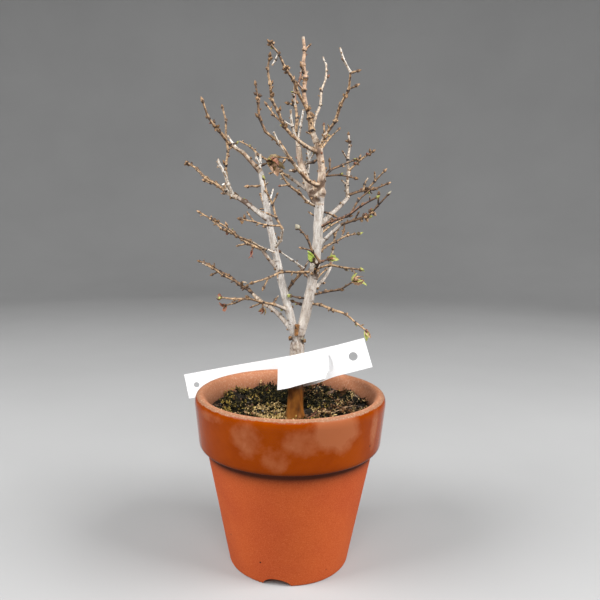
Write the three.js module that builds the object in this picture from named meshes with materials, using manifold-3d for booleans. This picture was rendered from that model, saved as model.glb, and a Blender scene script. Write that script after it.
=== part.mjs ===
// Small zelkova bonsai, bare but for a few opening buds, in an eleven-centimetre clay pot.
// Millimetres, +Z up; the pot's axis is the Z axis and its underside is z = 0.
// The viewer stands on the -Y side, so "left" is -X and "away" is +Y.
import * as THREE from "three";
import { mergeVertices } from "three/addons/utils/BufferGeometryUtils.js";
import Module from "manifold-3d";

const wasm = await Module();
wasm.setup();

// Pot
const POT_HEIGHT = 100;
const RIM_RADIUS = 55;
const RIM_WIDTH = 6;
const COLLAR_FOOT = 70;
const COLLAR_FOOT_RADIUS = 52.4;
const NECK_RADIUS = 48.6;
const FOOT_RADIUS = 35;
const WALL = 6;
const FLOOR = 9;
const POT_SIDES = 40;
const GROOVES = 3;
const GROOVE_WIDTH = 15;
const GROOVE_HEIGHT = 4.2;
const GROOVE_INNER_END = 13;
const FRONT_GROOVE_TURN = -102.5;
const DRAIN_RADIUS = 4.5;
const DRAIN_OFFSET = 20;

// Soil, with cushions of moss set out like the seeds of a sunflower
const GAP = 0.3;
const SOIL_LEVEL = 88;
const SOIL_TOP_RINGS = 11;
const CUSHIONS = 30;
const CUSHION_TURN = 137.5;
const CUSHION_RADIUS = 8.5;
const CUSHION_HEIGHT = 3.4;
const CUSHION_SPREAD = 0.75;

// Trunk
const TRUNK_FOOT = new THREE.Vector3(2.7, -11, 87.3);
const TRUNK_START = new THREE.Vector3(2.7, -11, 86);
const FLAT_AROUND_TRUNK = 9;
const ROOT_FLARE = 1.3;
const ROOT_FLARE_HEIGHT = 5;
const LIMB_SIDES = 8;
const LIMB_RING_SPACING = 6;

// Twigs
const TWIG_SIDES = 4;
const JOINT_SPACING = 7.5;
const ZIGZAG = 6;
const SPUR_SHARE = 0.22;
const SPUR_LENGTH = 4.5;
const SPUR_WIDTH = 0.9;
const SPUR_SPREAD = 48;
const CLEARANCE = 0.8;
const BUD_LENGTH = 2.3;
const BUD_WIDTH = 1.25;

// Label
const LABEL_WIDTH = 17;
const LABEL_THICKNESS = 0.5;
const SEGMENTS_PER_STATION = 3;
const LABEL_WAIST = 8.5;
const LABEL_WAIST_LENGTH = 4.6;
const SLOT_HEIGHT = 12;
const SLOT_WIDTH = 4.8;
const BIG_HOLE = 5;
const SMALL_HOLE = 3.8;

const CLAY = { color: 0xb0683f, roughness: 0.75, metalness: 0 };
const EARTH = { color: 0x4b4a26, roughness: 0.95, metalness: 0 };
const OLD_BARK = { color: 0x9c8f7c, roughness: 0.85, metalness: 0 };
const YOUNG_BARK = { color: 0x8b6a4c, roughness: 0.75, metalness: 0 };
const PLASTIC = { color: 0xf0f0ec, roughness: 0.35, metalness: 0 };

// One row per limb: name, what it grows from, share of the way along that,
// lean from upright as seen from the front (right is plus, degrees),
// swing out of that view (away is plus, degrees), reach as seen from the front,
// bend over the whole reach (degrees), width at the base and width at the tip.
const LIMBS = [
  ["trunk", "ground", 0, 1, 0, 47.5, 1, 8.6, 7.8],
  ["right_stem", "trunk", 0.95, 17, 0, 81, -19, 5.6, 4.8],
  ["left_stem", "trunk", 0.95, -16.5, 0, 95, 8, 4.8, 2.9],
  ["right_leader", "right_stem", 1, 15, 0, 29, -36, 4.4, 3.2],
  ["left_leader", "right_stem", 0.95, -34, 4, 33, 27, 4.4, 2.8],
  ["bough_low_left", "left_stem", 0.05, -36, 16, 21, -18, 2.9, 2.2],
  ["bough_low_front", "left_stem", 0.19, -58, -28, 8.5, -8, 2.0, 1.6],
  ["bough_left", "left_stem", 0.43, -40, -4, 15.5, 2, 2.1, 1.7],
  ["bough_mid_left", "left_stem", 0.73, -54, 14, 21, -2, 3.0, 2.3],
  ["bough_left_top", "left_stem", 1, -42, -14, 13.5, -4, 2.6, 2.0],
  ["bough_right_high", "right_stem", 0.8, 47, 18, 23, -2, 2.8, 2.1],
  ["bough_right_mid", "right_stem", 0.64, 32, -8, 19.5, 22, 2.3, 1.7],
  ["bough_right_low", "right_stem", 0.35, 52, 16, 19, -28, 2.2, 1.7],
  ["bough_crown_left", "right_leader", 0.8, -66, -24, 16.5, 10, 2.2, 1.7],
  ["bough_crown_front", "right_leader", 0.2, -80, -40, 13, 40, 2.3, 1.9],
  ["bough_crown_low", "left_leader", 0.22, -54, 24, 15, -2, 1.9, 1.6],
  ["bough_back_left", "left_stem", 0.6, -10, 62, 11, 0, 2.2, 1.7],
  ["bough_back_right", "right_stem", 0.55, 12, 62, 11, 0, 2.4, 1.8],
  ["bough_back_low", "right_stem", 0.2, 16, 60, 11, 0, 2.2, 1.7],
  ["bough_back_crown", "right_leader", 0.45, 4, 60, 10, 0, 2.2, 1.7],
];

// Each mass of twigs: its bough or stem and how far along it stands, then its shoots.
// A shoot row is its name, the shoot it forks from, share of the way along, lean, swing,
// reach, bend, width at the base, width at the tip and what it ends in.
const MASSES = [
  ["twigs_low_left", "bough_low_left", 1, [
    ["stem", "", 0, -51, 24, 49, -19, 2.1, 1.0, "bud"],
    ["upper", "stem", 0.5, -61, 10, 21, 0, 1.3, 0.9, "cut"],
    ["hook", "stem", 0.42, 40, -30, 4.5, 60, 1.1, 0.8, "cut"],
  ]],
  ["twigs_low_front", "bough_low_front", 1, [
    ["stem", "", 0, -68, -32, 28.5, -18, 1.5, 0.9, "leaf"],
    ["droop", "stem", 0.6, -108, -10, 9.5, -6, 1.0, 0.8, "leaf"],
    ["back", "stem", 0.05, 36, 40, 5, 0, 1.1, 0.8, "cut"],
    ["dead", "stem", 0.25, 175, -15, 2.5, 0, 0.9, 0.8, "dead"],
  ]],
  ["twigs_left", "bough_left", 1, [
    ["stem", "", 0, -62, 16, 41, 6, 1.6, 0.9, "bud"],
    ["inward", "stem", 0.03, 102, -28, 9, 4, 1.1, 0.8, "cut"],
    ["red", "stem", 0.12, -165, -20, 2.5, 0, 0.9, 0.8, "leaf"],
  ]],
  ["twigs_left_upper", "left_stem", 0.545, [
    ["stem", "", 0, -70, -28, 35, 20, 1.3, 0.8, "cut"],
  ]],
  ["twigs_left_front", "left_stem", 0.56, [
    ["stem", "", 0, 56, -46, 12, -70, 1.4, 1.2, "none"],
    ["rise", "stem", 1, -24, 4, 28, 4, 1.2, 0.8, "bud"],
    ["across", "rise", 0.08, -88, -4, 21, 16, 1.0, 0.8, "bud"],
  ]],
  ["twigs_mid_left", "bough_mid_left", 1, [
    ["stem", "", 0, -62, 20, 36, 15, 2.2, 1.0, "bud"],
    ["pale", "stem", 0.08, -12, -14, 20, -20, 1.9, 1.3, "cut"],
    ["pale_side", "pale", 0.62, -26, 20, 9, -4, 1.2, 1.0, "cut"],
    ["tall", "pale", 0.45, 4, 2, 39, -14, 1.4, 0.9, "bud"],
    ["stub", "stem", 0.14, -33, -30, 6, 0, 2.0, 1.7, "cut"],
    ["side", "stem", 0.42, -78, 24, 6, 5, 1.0, 0.8, "bud"],
  ]],
  ["twigs_left_top", "bough_left_top", 1, [
    ["stem", "", 0, -58, -20, 31.5, 36, 1.8, 1.0, "bud"],
    ["parallel", "stem", 0.06, -38, 16, 10.5, -2, 1.2, 0.9, "cut"],
  ]],
  ["twigs_left_tip", "left_stem", 1, [
    ["stem", "", 0, 2, 28, 10, -14, 1.6, 1.2, "cut"],
    ["inner", "stem", 0.45, -34, -4, 7, 24, 1.1, 0.9, "cut"],
    ["dead", "stem", 0.3, 62, -12, 4.5, 0, 1.0, 0.9, "dead"],
  ]],
  ["twigs_left_spur", "left_stem", 0.93, [
    ["stem", "", 0, -95, -10, 7.5, -6, 1.1, 0.8, "bud"],
  ]],
  ["twigs_right_high", "bough_right_high", 1, [
    ["stem", "", 0, 2, 16, 36, 2, 1.9, 1.0, "bud"],
    ["side", "stem", 0.42, 50, 4, 17, -2, 1.3, 0.9, "bud"],
    ["right", "stem", 0.04, 78, 8, 23.5, -6, 1.6, 0.9, "bud"],
    ["right_up", "right", 0.4, 14, 14, 7.5, 6, 1.0, 0.8, "cut"],
    ["right_fork", "right", 0.48, 54, -14, 13, -24, 1.1, 0.8, "bud"],
  ]],
  ["twigs_right_mid", "bough_right_mid", 1, [
    ["stem", "", 0, 84, -8, 30, -56, 1.5, 0.9, "bud"],
    ["down", "stem", 0.06, 188, -16, 7, 8, 0.9, 0.8, "cut"],
  ]],
  ["twigs_right_red", "right_stem", 0.79, [
    ["stem", "", 0, 71, -34, 33, -22, 1.6, 0.9, "bud"],
    ["brown", "stem", 0.56, 30, 6, 16, 14, 1.1, 0.8, "bud"],
  ]],
  ["twigs_right_shoot", "right_stem", 0.6, [
    ["stem", "", 0, 50, 34, 29, 28, 1.4, 0.9, "leaf"],
    ["side", "stem", 0.45, 14, 10, 7, 0, 0.9, 0.8, "bud"],
  ]],
  ["twigs_front", "right_stem", 0.47, [
    ["stem", "", 0, 24, -52, 9, -12, 1.6, 1.4, "none"],
    ["left", "stem", 1, -28, -8, 21.5, -8, 1.4, 1.0, "ball"],
    ["green", "stem", 0.72, -46, -16, 2.5, 0, 1.0, 0.9, "leaf"],
    ["red", "stem", 0.85, 62, 0, 5, 0, 1.0, 0.8, "bud"],
  ]],
  ["twigs_right_arch", "right_stem", 0.51, [
    ["stem", "", 0, 72, -26, 24.5, 34, 1.4, 0.9, "leaf"],
  ]],
  ["twigs_right_low", "bough_right_low", 1, [
    ["stem", "", 0, 8, 4, 8.5, -8, 1.5, 1.0, "bud"],
  ]],
  ["twigs_right_leafy", "right_stem", 0.33, [
    ["stem", "", 0, 84, -20, 25, -26, 1.4, 0.9, "leaf"],
  ]],
  ["twigs_right_droop", "right_stem", 0.275, [
    ["stem", "", 0, 92, -22, 34.5, 42, 1.5, 0.9, "leaf"],
  ]],
  ["twigs_cross", "right_stem", 0.5, [
    ["stem", "", 0, -80, -32, 33.5, -36, 1.5, 0.9, "bud"],
  ]],
  ["twigs_cross_back", "left_stem", 0.29, [
    ["stem", "", 0, 39, 28, 22, -2, 1.5, 1.0, "cut"],
    ["thin", "stem", 0.8, -44, -4, 16, -24, 1.0, 0.8, "bud"],
  ]],
  ["twigs_inner_low", "right_stem", 0.315, [
    ["stem", "", 0, -82, -14, 9.5, 0, 1.2, 0.9, "leaf"],
  ]],
  ["twigs_inner_lower", "right_stem", 0.265, [
    ["stem", "", 0, -78, 18, 7.5, 0, 1.2, 0.9, "bud"],
  ]],
  ["twigs_apex", "right_leader", 1, [
    ["stem", "", 0, -15, 2, 21, 0, 3.0, 2.3, "none"],
    ["leader", "stem", 1, 0, 3, 35.2, -3, 2.2, 1.5, "cut"],
    ["left_arm", "stem", 0.96, -26, -19, 34.5, -14, 1.7, 0.9, "bud"],
    ["left_fine", "left_arm", 0.82, -152, 10, 6.5, 0, 0.9, 0.8, "cut"],
    ["right_arm", "stem", 0.27, 14, 24, 41, -4, 1.5, 0.9, "none"],
    ["right_tip", "right_arm", 1, -24, 8, 4.5, 0, 0.9, 0.8, "cut"],
    ["stub", "leader", 0.3, 10, 24, 7.5, 0, 1.2, 1.0, "cut"],
    ["stub_left", "leader", 0.45, -60, -25, 3.5, 50, 1.0, 0.8, "bud"],
  ]],
  ["twigs_top_right", "right_leader", 0.87, [
    ["stem", "", 0, 35, -22, 40, -24, 1.8, 1.0, "none"],
    ["white", "stem", 1, -29, -10, 12.5, 0, 1.1, 0.9, "cut"],
    ["fork", "stem", 0.98, 62, 16, 3.5, 0, 0.9, 0.8, "bud"],
  ]],
  ["twigs_crown_left", "bough_crown_left", 1, [
    ["stem", "", 0, -42, -10, 42, 50, 1.7, 0.9, "bud"],
    ["low", "stem", 0.2, -38, 12, 12, -10, 1.1, 0.8, "bud"],
  ]],
  ["twigs_crown_front", "bough_crown_front", 1, [
    ["stem", "", 0, -33, -20, 26, -18, 1.8, 1.4, "none"],
    ["tip", "stem", 1, -20, -6, 23, 20, 1.4, 0.9, "bud"],
    ["stub", "stem", 0.06, -96, -10, 5, 0, 1.3, 1.1, "cut"],
    ["pale", "stem", 0.42, -32, -26, 12.5, 0, 1.2, 0.9, "cut"],
  ]],
  ["twigs_crown_low", "bough_crown_low", 1, [
    ["stem", "", 0, -49, 24, 36, -4, 1.5, 0.9, "cut"],
    ["pink", "stem", 0.2, 28, 14, 5, 0, 1.3, 1.1, "bud"],
  ]],
  ["twigs_crown_brown", "right_stem", 0.93, [
    ["stem", "", 0, -60, -24, 27, 18, 1.6, 1.1, "cut"],
  ]],
  ["twigs_crown_centre", "left_leader", 1, [
    ["stem", "", 0, -4, 18, 24.5, 4, 1.9, 1.4, "none"],
    ["top", "stem", 1, 8, 16, 21, 10, 1.3, 0.9, "cut"],
    ["left_white", "stem", 0.12, -16, -14, 16.5, 4, 1.4, 1.1, "cut"],
    ["right_white", "stem", 0.08, 20, -10, 17.5, -22, 1.4, 1.1, "cut"],
    ["stub", "stem", 0.95, -6, -24, 9.5, 8, 1.1, 0.9, "cut"],
    ["side", "stem", 0.97, -80, 0, 3, 0, 1.0, 0.9, "bud"],
  ]],
  ["twigs_crown_inner", "left_leader", 0.32, [
    ["stem", "", 0, -2, 26, 22, 2, 1.3, 1.0, "cut"],
    ["pair", "stem", 0.35, 8, -2, 14.5, 2, 1.1, 0.9, "cut"],
    ["low", "stem", 0.3, -14, 8, 8, 0, 1.0, 0.9, "cut"],
  ]],
  ["twigs_crown_right", "right_leader", 0.3, [
    ["stem", "", 0, 37, 28, 22.5, 42, 1.5, 0.9, "bud"],
    ["level", "stem", 0.14, 92, -30, 15.5, 8, 1.0, 0.8, "bud"],
  ]],
  ["twigs_leader_stub", "right_leader", 0.72, [
    ["stem", "", 0, -112, 14, 9.5, 0, 1.3, 1.0, "cut"],
  ]],
  ["twigs_right_spur", "right_stem", 0.9, [
    ["stem", "", 0, 98, -18, 7.5, 8, 1.1, 0.8, "bud"],
  ]],
  ["twigs_back_left", "bough_back_left", 1, [
    ["stem", "", 0, -14, 50, 18, -20, 1.6, 0.9, "bud"],
    ["left", "stem", 0.3, -62, 36, 15, 6, 1.2, 0.8, "bud"],
    ["up", "stem", 0.25, 16, 34, 16, -10, 1.2, 0.8, "cut"],
  ]],
  ["twigs_back_right", "bough_back_right", 1, [
    ["stem", "", 0, 22, 48, 19, 8, 1.7, 0.9, "bud"],
    ["right", "stem", 0.3, 60, 36, 15, -8, 1.2, 0.8, "bud"],
    ["up", "stem", 0.4, -16, 30, 17, 10, 1.2, 0.8, "bud"],
  ]],
  ["twigs_back_low", "bough_back_low", 1, [
    ["stem", "", 0, 30, 50, 15, 16, 1.6, 0.9, "bud"],
    ["left", "stem", 0.3, -40, 40, 13, -8, 1.2, 0.8, "bud"],
  ]],
  ["twigs_back_crown", "bough_back_crown", 1, [
    ["stem", "", 0, 6, 44, 21, 0, 1.6, 0.9, "bud"],
    ["right", "stem", 0.25, 44, 34, 16, -10, 1.2, 0.8, "bud"],
    ["left", "stem", 0.35, -34, 38, 16, 10, 1.2, 0.8, "cut"],
  ]],
];

// The label's middle line from its right end, behind the trunk, round its left side, back
// through its own slot, over the rear of the rim and out to the left behind the pot.
const LABEL_LINE = [
  [43, -13, 126],
  [32, -11.5, 122.5],
  [21, -10, 119],
  [12, -7.6, 114.8],
  [3.2, -5.6, 112],
  [-4, -8.2, 111.8],
  [-6.8, -13.5, 112.8],
  [-6.3, -18.7, 114.6],
  [-2, -21.8, 116.3],
  [6, -21, 118.2],
  [14, -16.6, 119],
  [21, -9.8, 119],
  [26.2, -2.2, 118.4],
  [29.6, 8, 116.6],
  [31.6, 19.5, 114.4],
  [32.2, 30, 112.3],
  [30.6, 39.8, 110.4],
  [24.8, 51.2, 106.6],
  [9.2, 58.9, 100.9],
  [-10, 60.6, 96.7],
  [-40, 60.6, 91],
  [-71, 60, 85],
];
const BIG_HOLE_STATION = 0.75;
const SLOT_STATION = 2;
const SLOT_PIECE_END = 5;
const WAIST_STATION = 11;
const SMALL_HOLE_STATION = 20.78;

const radians = THREE.MathUtils.degToRad;
const lerp = THREE.MathUtils.lerp;

// Repeatable chance, so the same name always grows the same twigs.
function seededFrom(name) {
  let state = 7;
  for (const letter of name) {
    state = (state * 31 + letter.charCodeAt(0)) % 2147483647;
  }
  return () => {
    state = (state * 48271) % 2147483647;
    return state / 2147483647;
  };
}

function solidOf(geometry) {
  geometry.deleteAttribute("normal");
  geometry.deleteAttribute("uv");
  const merged = mergeVertices(geometry, 1e-5);
  return new wasm.Manifold(
    new wasm.Mesh({
      numProp: 3,
      vertProperties: new Float32Array(merged.attributes.position.array),
      triVerts: new Uint32Array(merged.index.array),
    }),
  );
}

function meshOf(name, solid, finish) {
  const { vertProperties, triVerts } = solid.getMesh();
  const geometry = new THREE.BufferGeometry();
  geometry.setAttribute("position", new THREE.BufferAttribute(vertProperties, 3));
  geometry.setIndex(new THREE.BufferAttribute(triVerts, 1));
  geometry.computeVertexNormals();
  const mesh = new THREE.Mesh(geometry, new THREE.MeshStandardMaterial(finish));
  mesh.name = name;
  return mesh;
}

function largestBody(solid) {
  return solid.decompose().reduce((best, body) => (body.volume() > best.volume() ? body : best));
}

// A turned profile of [radius, height] points, stood upright.
function turned(profile, sides) {
  const geometry = new THREE.LatheGeometry(profile, sides);
  geometry.rotateX(Math.PI / 2);
  return geometry;
}

function innerRadiusAt(height) {
  const share = (height - FLOOR) / (POT_HEIGHT - FLOOR);
  return lerp(FOOT_RADIUS - WALL, RIM_RADIUS - RIM_WIDTH, share);
}

function potProfile() {
  const outline = new THREE.Path();
  outline.moveTo(0, 0);
  outline.lineTo(FOOT_RADIUS - 1, 0);
  outline.quadraticCurveTo(FOOT_RADIUS, 0, FOOT_RADIUS + 0.2, 1);
  outline.lineTo(NECK_RADIUS - 0.5, COLLAR_FOOT - 3);
  outline.quadraticCurveTo(NECK_RADIUS, COLLAR_FOOT, NECK_RADIUS + 1.5, COLLAR_FOOT + 0.4);
  outline.lineTo(COLLAR_FOOT_RADIUS - 1.5, COLLAR_FOOT);
  outline.quadraticCurveTo(COLLAR_FOOT_RADIUS, COLLAR_FOOT, COLLAR_FOOT_RADIUS + 0.3, COLLAR_FOOT + 2.5);
  outline.lineTo(RIM_RADIUS, POT_HEIGHT - 5);
  outline.quadraticCurveTo(RIM_RADIUS + 0.2, POT_HEIGHT - 0.6, RIM_RADIUS - 2.6, POT_HEIGHT);
  outline.quadraticCurveTo(
    RIM_RADIUS - RIM_WIDTH + 0.2,
    POT_HEIGHT,
    innerRadiusAt(POT_HEIGHT - 4),
    POT_HEIGHT - 4,
  );
  outline.lineTo(innerRadiusAt(FLOOR + 2), FLOOR + 2);
  outline.lineTo(innerRadiusAt(FLOOR) - 2, FLOOR);
  outline.lineTo(0, FLOOR);
  return outline.getPoints(2);
}

// Each groove is a low arch cut in from the foot's edge, and drains one hole.
function drainGroove(turn) {
  const arch = new THREE.Shape();
  arch.moveTo(-GROOVE_WIDTH / 2, -1);
  arch.lineTo(GROOVE_WIDTH / 2, -1);
  arch.lineTo(GROOVE_WIDTH / 2, 0.6);
  arch.quadraticCurveTo(GROOVE_WIDTH / 3, GROOVE_HEIGHT, 0, GROOVE_HEIGHT);
  arch.quadraticCurveTo(-GROOVE_WIDTH / 3, GROOVE_HEIGHT, -GROOVE_WIDTH / 2, 0.6);
  const depth = FOOT_RADIUS + 5 - GROOVE_INNER_END;
  const geometry = new THREE.ExtrudeGeometry(arch, { depth, bevelEnabled: false, curveSegments: 4 });
  geometry.rotateX(Math.PI / 2);
  geometry.rotateZ(Math.PI / 2);
  geometry.translate(GROOVE_INNER_END, 0, 0);
  geometry.rotateZ(turn);
  return solidOf(geometry);
}

function drainHole(turn) {
  const geometry = new THREE.CylinderGeometry(DRAIN_RADIUS, DRAIN_RADIUS, FLOOR + 4, 12);
  geometry.rotateX(Math.PI / 2);
  geometry.translate(DRAIN_OFFSET, 0, FLOOR / 2);
  geometry.rotateZ(turn);
  return solidOf(geometry);
}

function potSolid() {
  let pot = solidOf(turned(potProfile(), POT_SIDES));
  for (let i = 0; i < GROOVES; i++) {
    const turn = radians(FRONT_GROOVE_TURN + (360 / GROOVES) * i);
    pot = pot.subtract(drainGroove(turn)).subtract(drainHole(turn));
  }
  return pot;
}

// Low domes of differing height, about their own radius apart.
function mossCushions() {
  const random = seededFrom("moss");
  return Array.from({ length: CUSHIONS }, (_, i) => {
    const out = innerRadiusAt(SOIL_LEVEL) * Math.sqrt((i + 0.5) / CUSHIONS);
    const turn = radians(CUSHION_TURN * i);
    const height = CUSHION_HEIGHT * (1 - CUSHION_SPREAD * random());
    return { x: out * Math.cos(turn), y: out * Math.sin(turn), height };
  });
}

// The soil's top is cushioned with moss but lies flat just under the trunk's cut foot.
function soilTopAt(x, y, cushions) {
  const flatTop = TRUNK_FOOT.z - GAP;
  const fromTrunk = Math.hypot(x - TRUNK_FOOT.x, y - TRUNK_FOOT.y);
  const blend = THREE.MathUtils.smoothstep(fromTrunk, FLAT_AROUND_TRUNK, 2 * FLAT_AROUND_TRUNK);
  let moss = 0;
  for (const cushion of cushions) {
    const away = Math.hypot(x - cushion.x, y - cushion.y) / CUSHION_RADIUS;
    moss = Math.max(moss, cushion.height * (1 - away * away));
  }
  return lerp(flatTop, SOIL_LEVEL + moss, blend);
}

function soilSolid() {
  const bottom = FLOOR + GAP;
  const shoulder = SOIL_LEVEL - 6;
  const profile = [
    new THREE.Vector2(0, bottom),
    new THREE.Vector2(innerRadiusAt(bottom) - 2 - GAP, bottom),
    new THREE.Vector2(innerRadiusAt(bottom + 2) - GAP, bottom + 2),
    new THREE.Vector2(innerRadiusAt(shoulder) - GAP, shoulder),
  ];
  const edge = innerRadiusAt(SOIL_LEVEL) - GAP - 0.2;
  for (let ring = 0; ring <= SOIL_TOP_RINGS; ring++) {
    profile.push(new THREE.Vector2(edge * (1 - ring / SOIL_TOP_RINGS), SOIL_LEVEL));
  }
  const geometry = turned(profile, POT_SIDES);
  const cushions = mossCushions();
  const place = geometry.attributes.position;
  for (let i = 0; i < place.count; i++) {
    if (place.getZ(i) > SOIL_LEVEL - 0.1) {
      place.setZ(i, soilTopAt(place.getX(i), place.getY(i), cushions));
    }
  }
  return solidOf(geometry);
}

// The line a limb or shoot grows along: even bends with a small kink at every joint.
function growLine(foot, lean, swing, reach, bend, zigzag, random) {
  const joints = Math.max(2, Math.round(reach / JOINT_SPACING));
  const step = reach / joints;
  const points = [foot.clone()];
  for (let i = 0; i < joints; i++) {
    const kink = (i % 2 ? zigzag : -zigzag) * (0.6 + 0.8 * random());
    const angle = radians(lean + (bend * (i + 0.5)) / joints + kink);
    const away = Math.tan(radians(swing)) + zigzag * 0.012 * (random() - 0.5);
    const next = new THREE.Vector3(Math.sin(angle), away, Math.cos(angle));
    points.push(next.multiplyScalar(step).add(points[i]));
  }
  return new THREE.CatmullRomCurve3(points);
}

// A capped round bar bent along a line, its width set by widthAt(share of the way along).
function roundAlong(line, widthAt, sides, rings) {
  const geometry = new THREE.CylinderGeometry(1, 1, 1, sides, rings);
  const frames = line.computeFrenetFrames(rings);
  const place = geometry.attributes.position;
  const centre = new THREE.Vector3();
  for (let i = 0; i < place.count; i++) {
    const share = place.getY(i) + 0.5;
    const ring = Math.round(share * rings);
    const radius = widthAt(share) / 2;
    line.getPointAt(ring / rings, centre);
    centre.addScaledVector(frames.normals[ring], place.getX(i) * radius);
    centre.addScaledVector(frames.binormals[ring], -place.getZ(i) * radius);
    place.setXYZ(i, centre.x, centre.y, centre.z);
  }
  return solidOf(geometry);
}

// A pointed bud, ball or leaf: a small round stretched along a direction from its foot.
function budSolid(foot, direction, length, width, thickness) {
  const geometry = new THREE.OctahedronGeometry(0.5);
  geometry.scale(width, length, thickness);
  geometry.translate(0, length * 0.42, 0);
  const turn = new THREE.Quaternion().setFromUnitVectors(new THREE.Vector3(0, 1, 0), direction);
  geometry.applyQuaternion(turn);
  geometry.translate(foot.x, foot.y, foot.z);
  return solidOf(geometry);
}

function sideOf(direction, turn) {
  const side = new THREE.Vector3(0, 1, 0).cross(direction).normalize();
  return side.applyAxisAngle(direction, turn);
}

function limbLines() {
  const lines = new Map();
  for (const [name, on, at, lean, swing, reach, bend, base, tip] of LIMBS) {
    const foot = on === "ground" ? TRUNK_START : lines.get(on).line.getPointAt(at);
    const line = growLine(foot, lean, swing, reach, bend, 1.5, seededFrom(name));
    lines.set(name, { line, base, tip, on });
  }
  return lines;
}

function limbWidth(limb, extra) {
  const flare = limb.on === "ground" ? ROOT_FLARE : 0;
  const length = limb.line.getLength();
  return (share) => {
    const flareHere = flare * Math.exp((-share * length) / ROOT_FLARE_HEIGHT);
    return lerp(limb.base, limb.tip, share) + 2 * (flareHere + extra);
  };
}

// A limb grown by a gap all round and at both ends, for cutting what stands against it.
function swollenLimb(limb) {
  const points = limb.line.points.map((point) => point.clone());
  points[0].addScaledVector(limb.line.getTangentAt(0), -GAP);
  points.at(-1).addScaledVector(limb.line.getTangentAt(1), GAP);
  const line = new THREE.CatmullRomCurve3(points);
  return roundAlong(line, limbWidth(limb, GAP), LIMB_SIDES, limbRings(limb));
}

function limbRings(limb) {
  return Math.max(3, Math.round(limb.line.getLength() / LIMB_RING_SPACING));
}

function boxesMeet(a, b) {
  const one = a.boundingBox();
  const two = b.boundingBox();
  return [0, 1, 2].every((axis) => one.min[axis] <= two.max[axis] && two.min[axis] <= one.max[axis]);
}

function clearOf(solid, cutters) {
  let cut = solid;
  for (const cutter of cutters) {
    if (boxesMeet(cut, cutter)) {
      cut = cut.subtract(cutter);
    }
  }
  return largestBody(cut);
}

// A block up to ground level, which cuts the trunk's foot flat.
function groundSolid() {
  const block = new THREE.BoxGeometry(30, 30, 10);
  block.translate(TRUNK_FOOT.x, TRUNK_FOOT.y, TRUNK_FOOT.z - 5);
  return solidOf(block);
}

// Limbs in growing order; each keeps a gap to the ones grown before it.
function limbSolids(limbs) {
  const solids = new Map();
  const swollen = [groundSolid()];
  for (const [name, limb] of limbs) {
    const solid = roundAlong(limb.line, limbWidth(limb, 0), LIMB_SIDES, limbRings(limb));
    solids.set(name, clearOf(solid, swollen));
    swollen.push(swollenLimb(limb));
  }
  return { solids, swollen };
}

function shootLines(limbs) {
  const masses = new Map();
  for (const [mass, on, at, rows] of MASSES) {
    const shoots = new Map();
    for (const [name, from, along, lean, swing, reach, bend, base, tip, end] of rows) {
      const foot = from ? shoots.get(from).line.getPointAt(along) : limbs.get(on).line.getPointAt(at);
      const random = seededFrom(mass + name);
      const line = growLine(foot, lean, swing, reach, bend, ZIGZAG, random);
      shoots.set(name, { line, base, tip, end, random, reach });
    }
    masses.set(mass, { on, shoots });
  }
  return masses;
}

// Points with a radius along every limb and shoot, for keeping spurs apart.
function crowdPoints(limbs, masses) {
  const crowd = [];
  const addLine = (owner, grown) => {
    const count = Math.ceil(grown.line.getLength());
    for (let i = 0; i <= count; i++) {
      const share = i / count;
      const radius = lerp(grown.base, grown.tip, share) / 2;
      crowd.push({ owner, at: grown.line.getPointAt(share), radius });
    }
  };
  limbs.forEach((limb, name) => addLine(name, limb));
  masses.forEach((mass, name) => mass.shoots.forEach((shoot) => addLine(name, shoot)));
  return crowd;
}

function isClear(point, owner, crowd) {
  return crowd.every((other) => {
    const reach = other.radius + CLEARANCE + BUD_WIDTH;
    return other.owner === owner || other.at.distanceTo(point) > reach;
  });
}

function taper(base, tip) {
  return (share) => lerp(base, tip, share);
}

function endSolids(shoot) {
  const foot = shoot.line.getPointAt(0.97);
  const ahead = shoot.line.getTangentAt(1);
  const side = sideOf(ahead, shoot.random() * Math.PI);
  if (shoot.end === "bud") {
    return [budSolid(foot, ahead, BUD_LENGTH * 1.3, BUD_WIDTH, BUD_WIDTH)];
  }
  if (shoot.end === "ball") {
    return [budSolid(foot, ahead, 3.4, 2.8, 2.8)];
  }
  if (shoot.end === "dead") {
    return [budSolid(foot, ahead, 6.5, 3.6, 1.4)];
  }
  if (shoot.end === "leaf") {
    const one = ahead.clone().addScaledVector(side, 0.6).normalize();
    const two = ahead.clone().addScaledVector(side, -0.6).normalize();
    return [budSolid(foot, one, 4.6, 2.2, 0.9), budSolid(foot, two, 3.8, 2, 0.9)];
  }
  return [];
}

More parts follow.
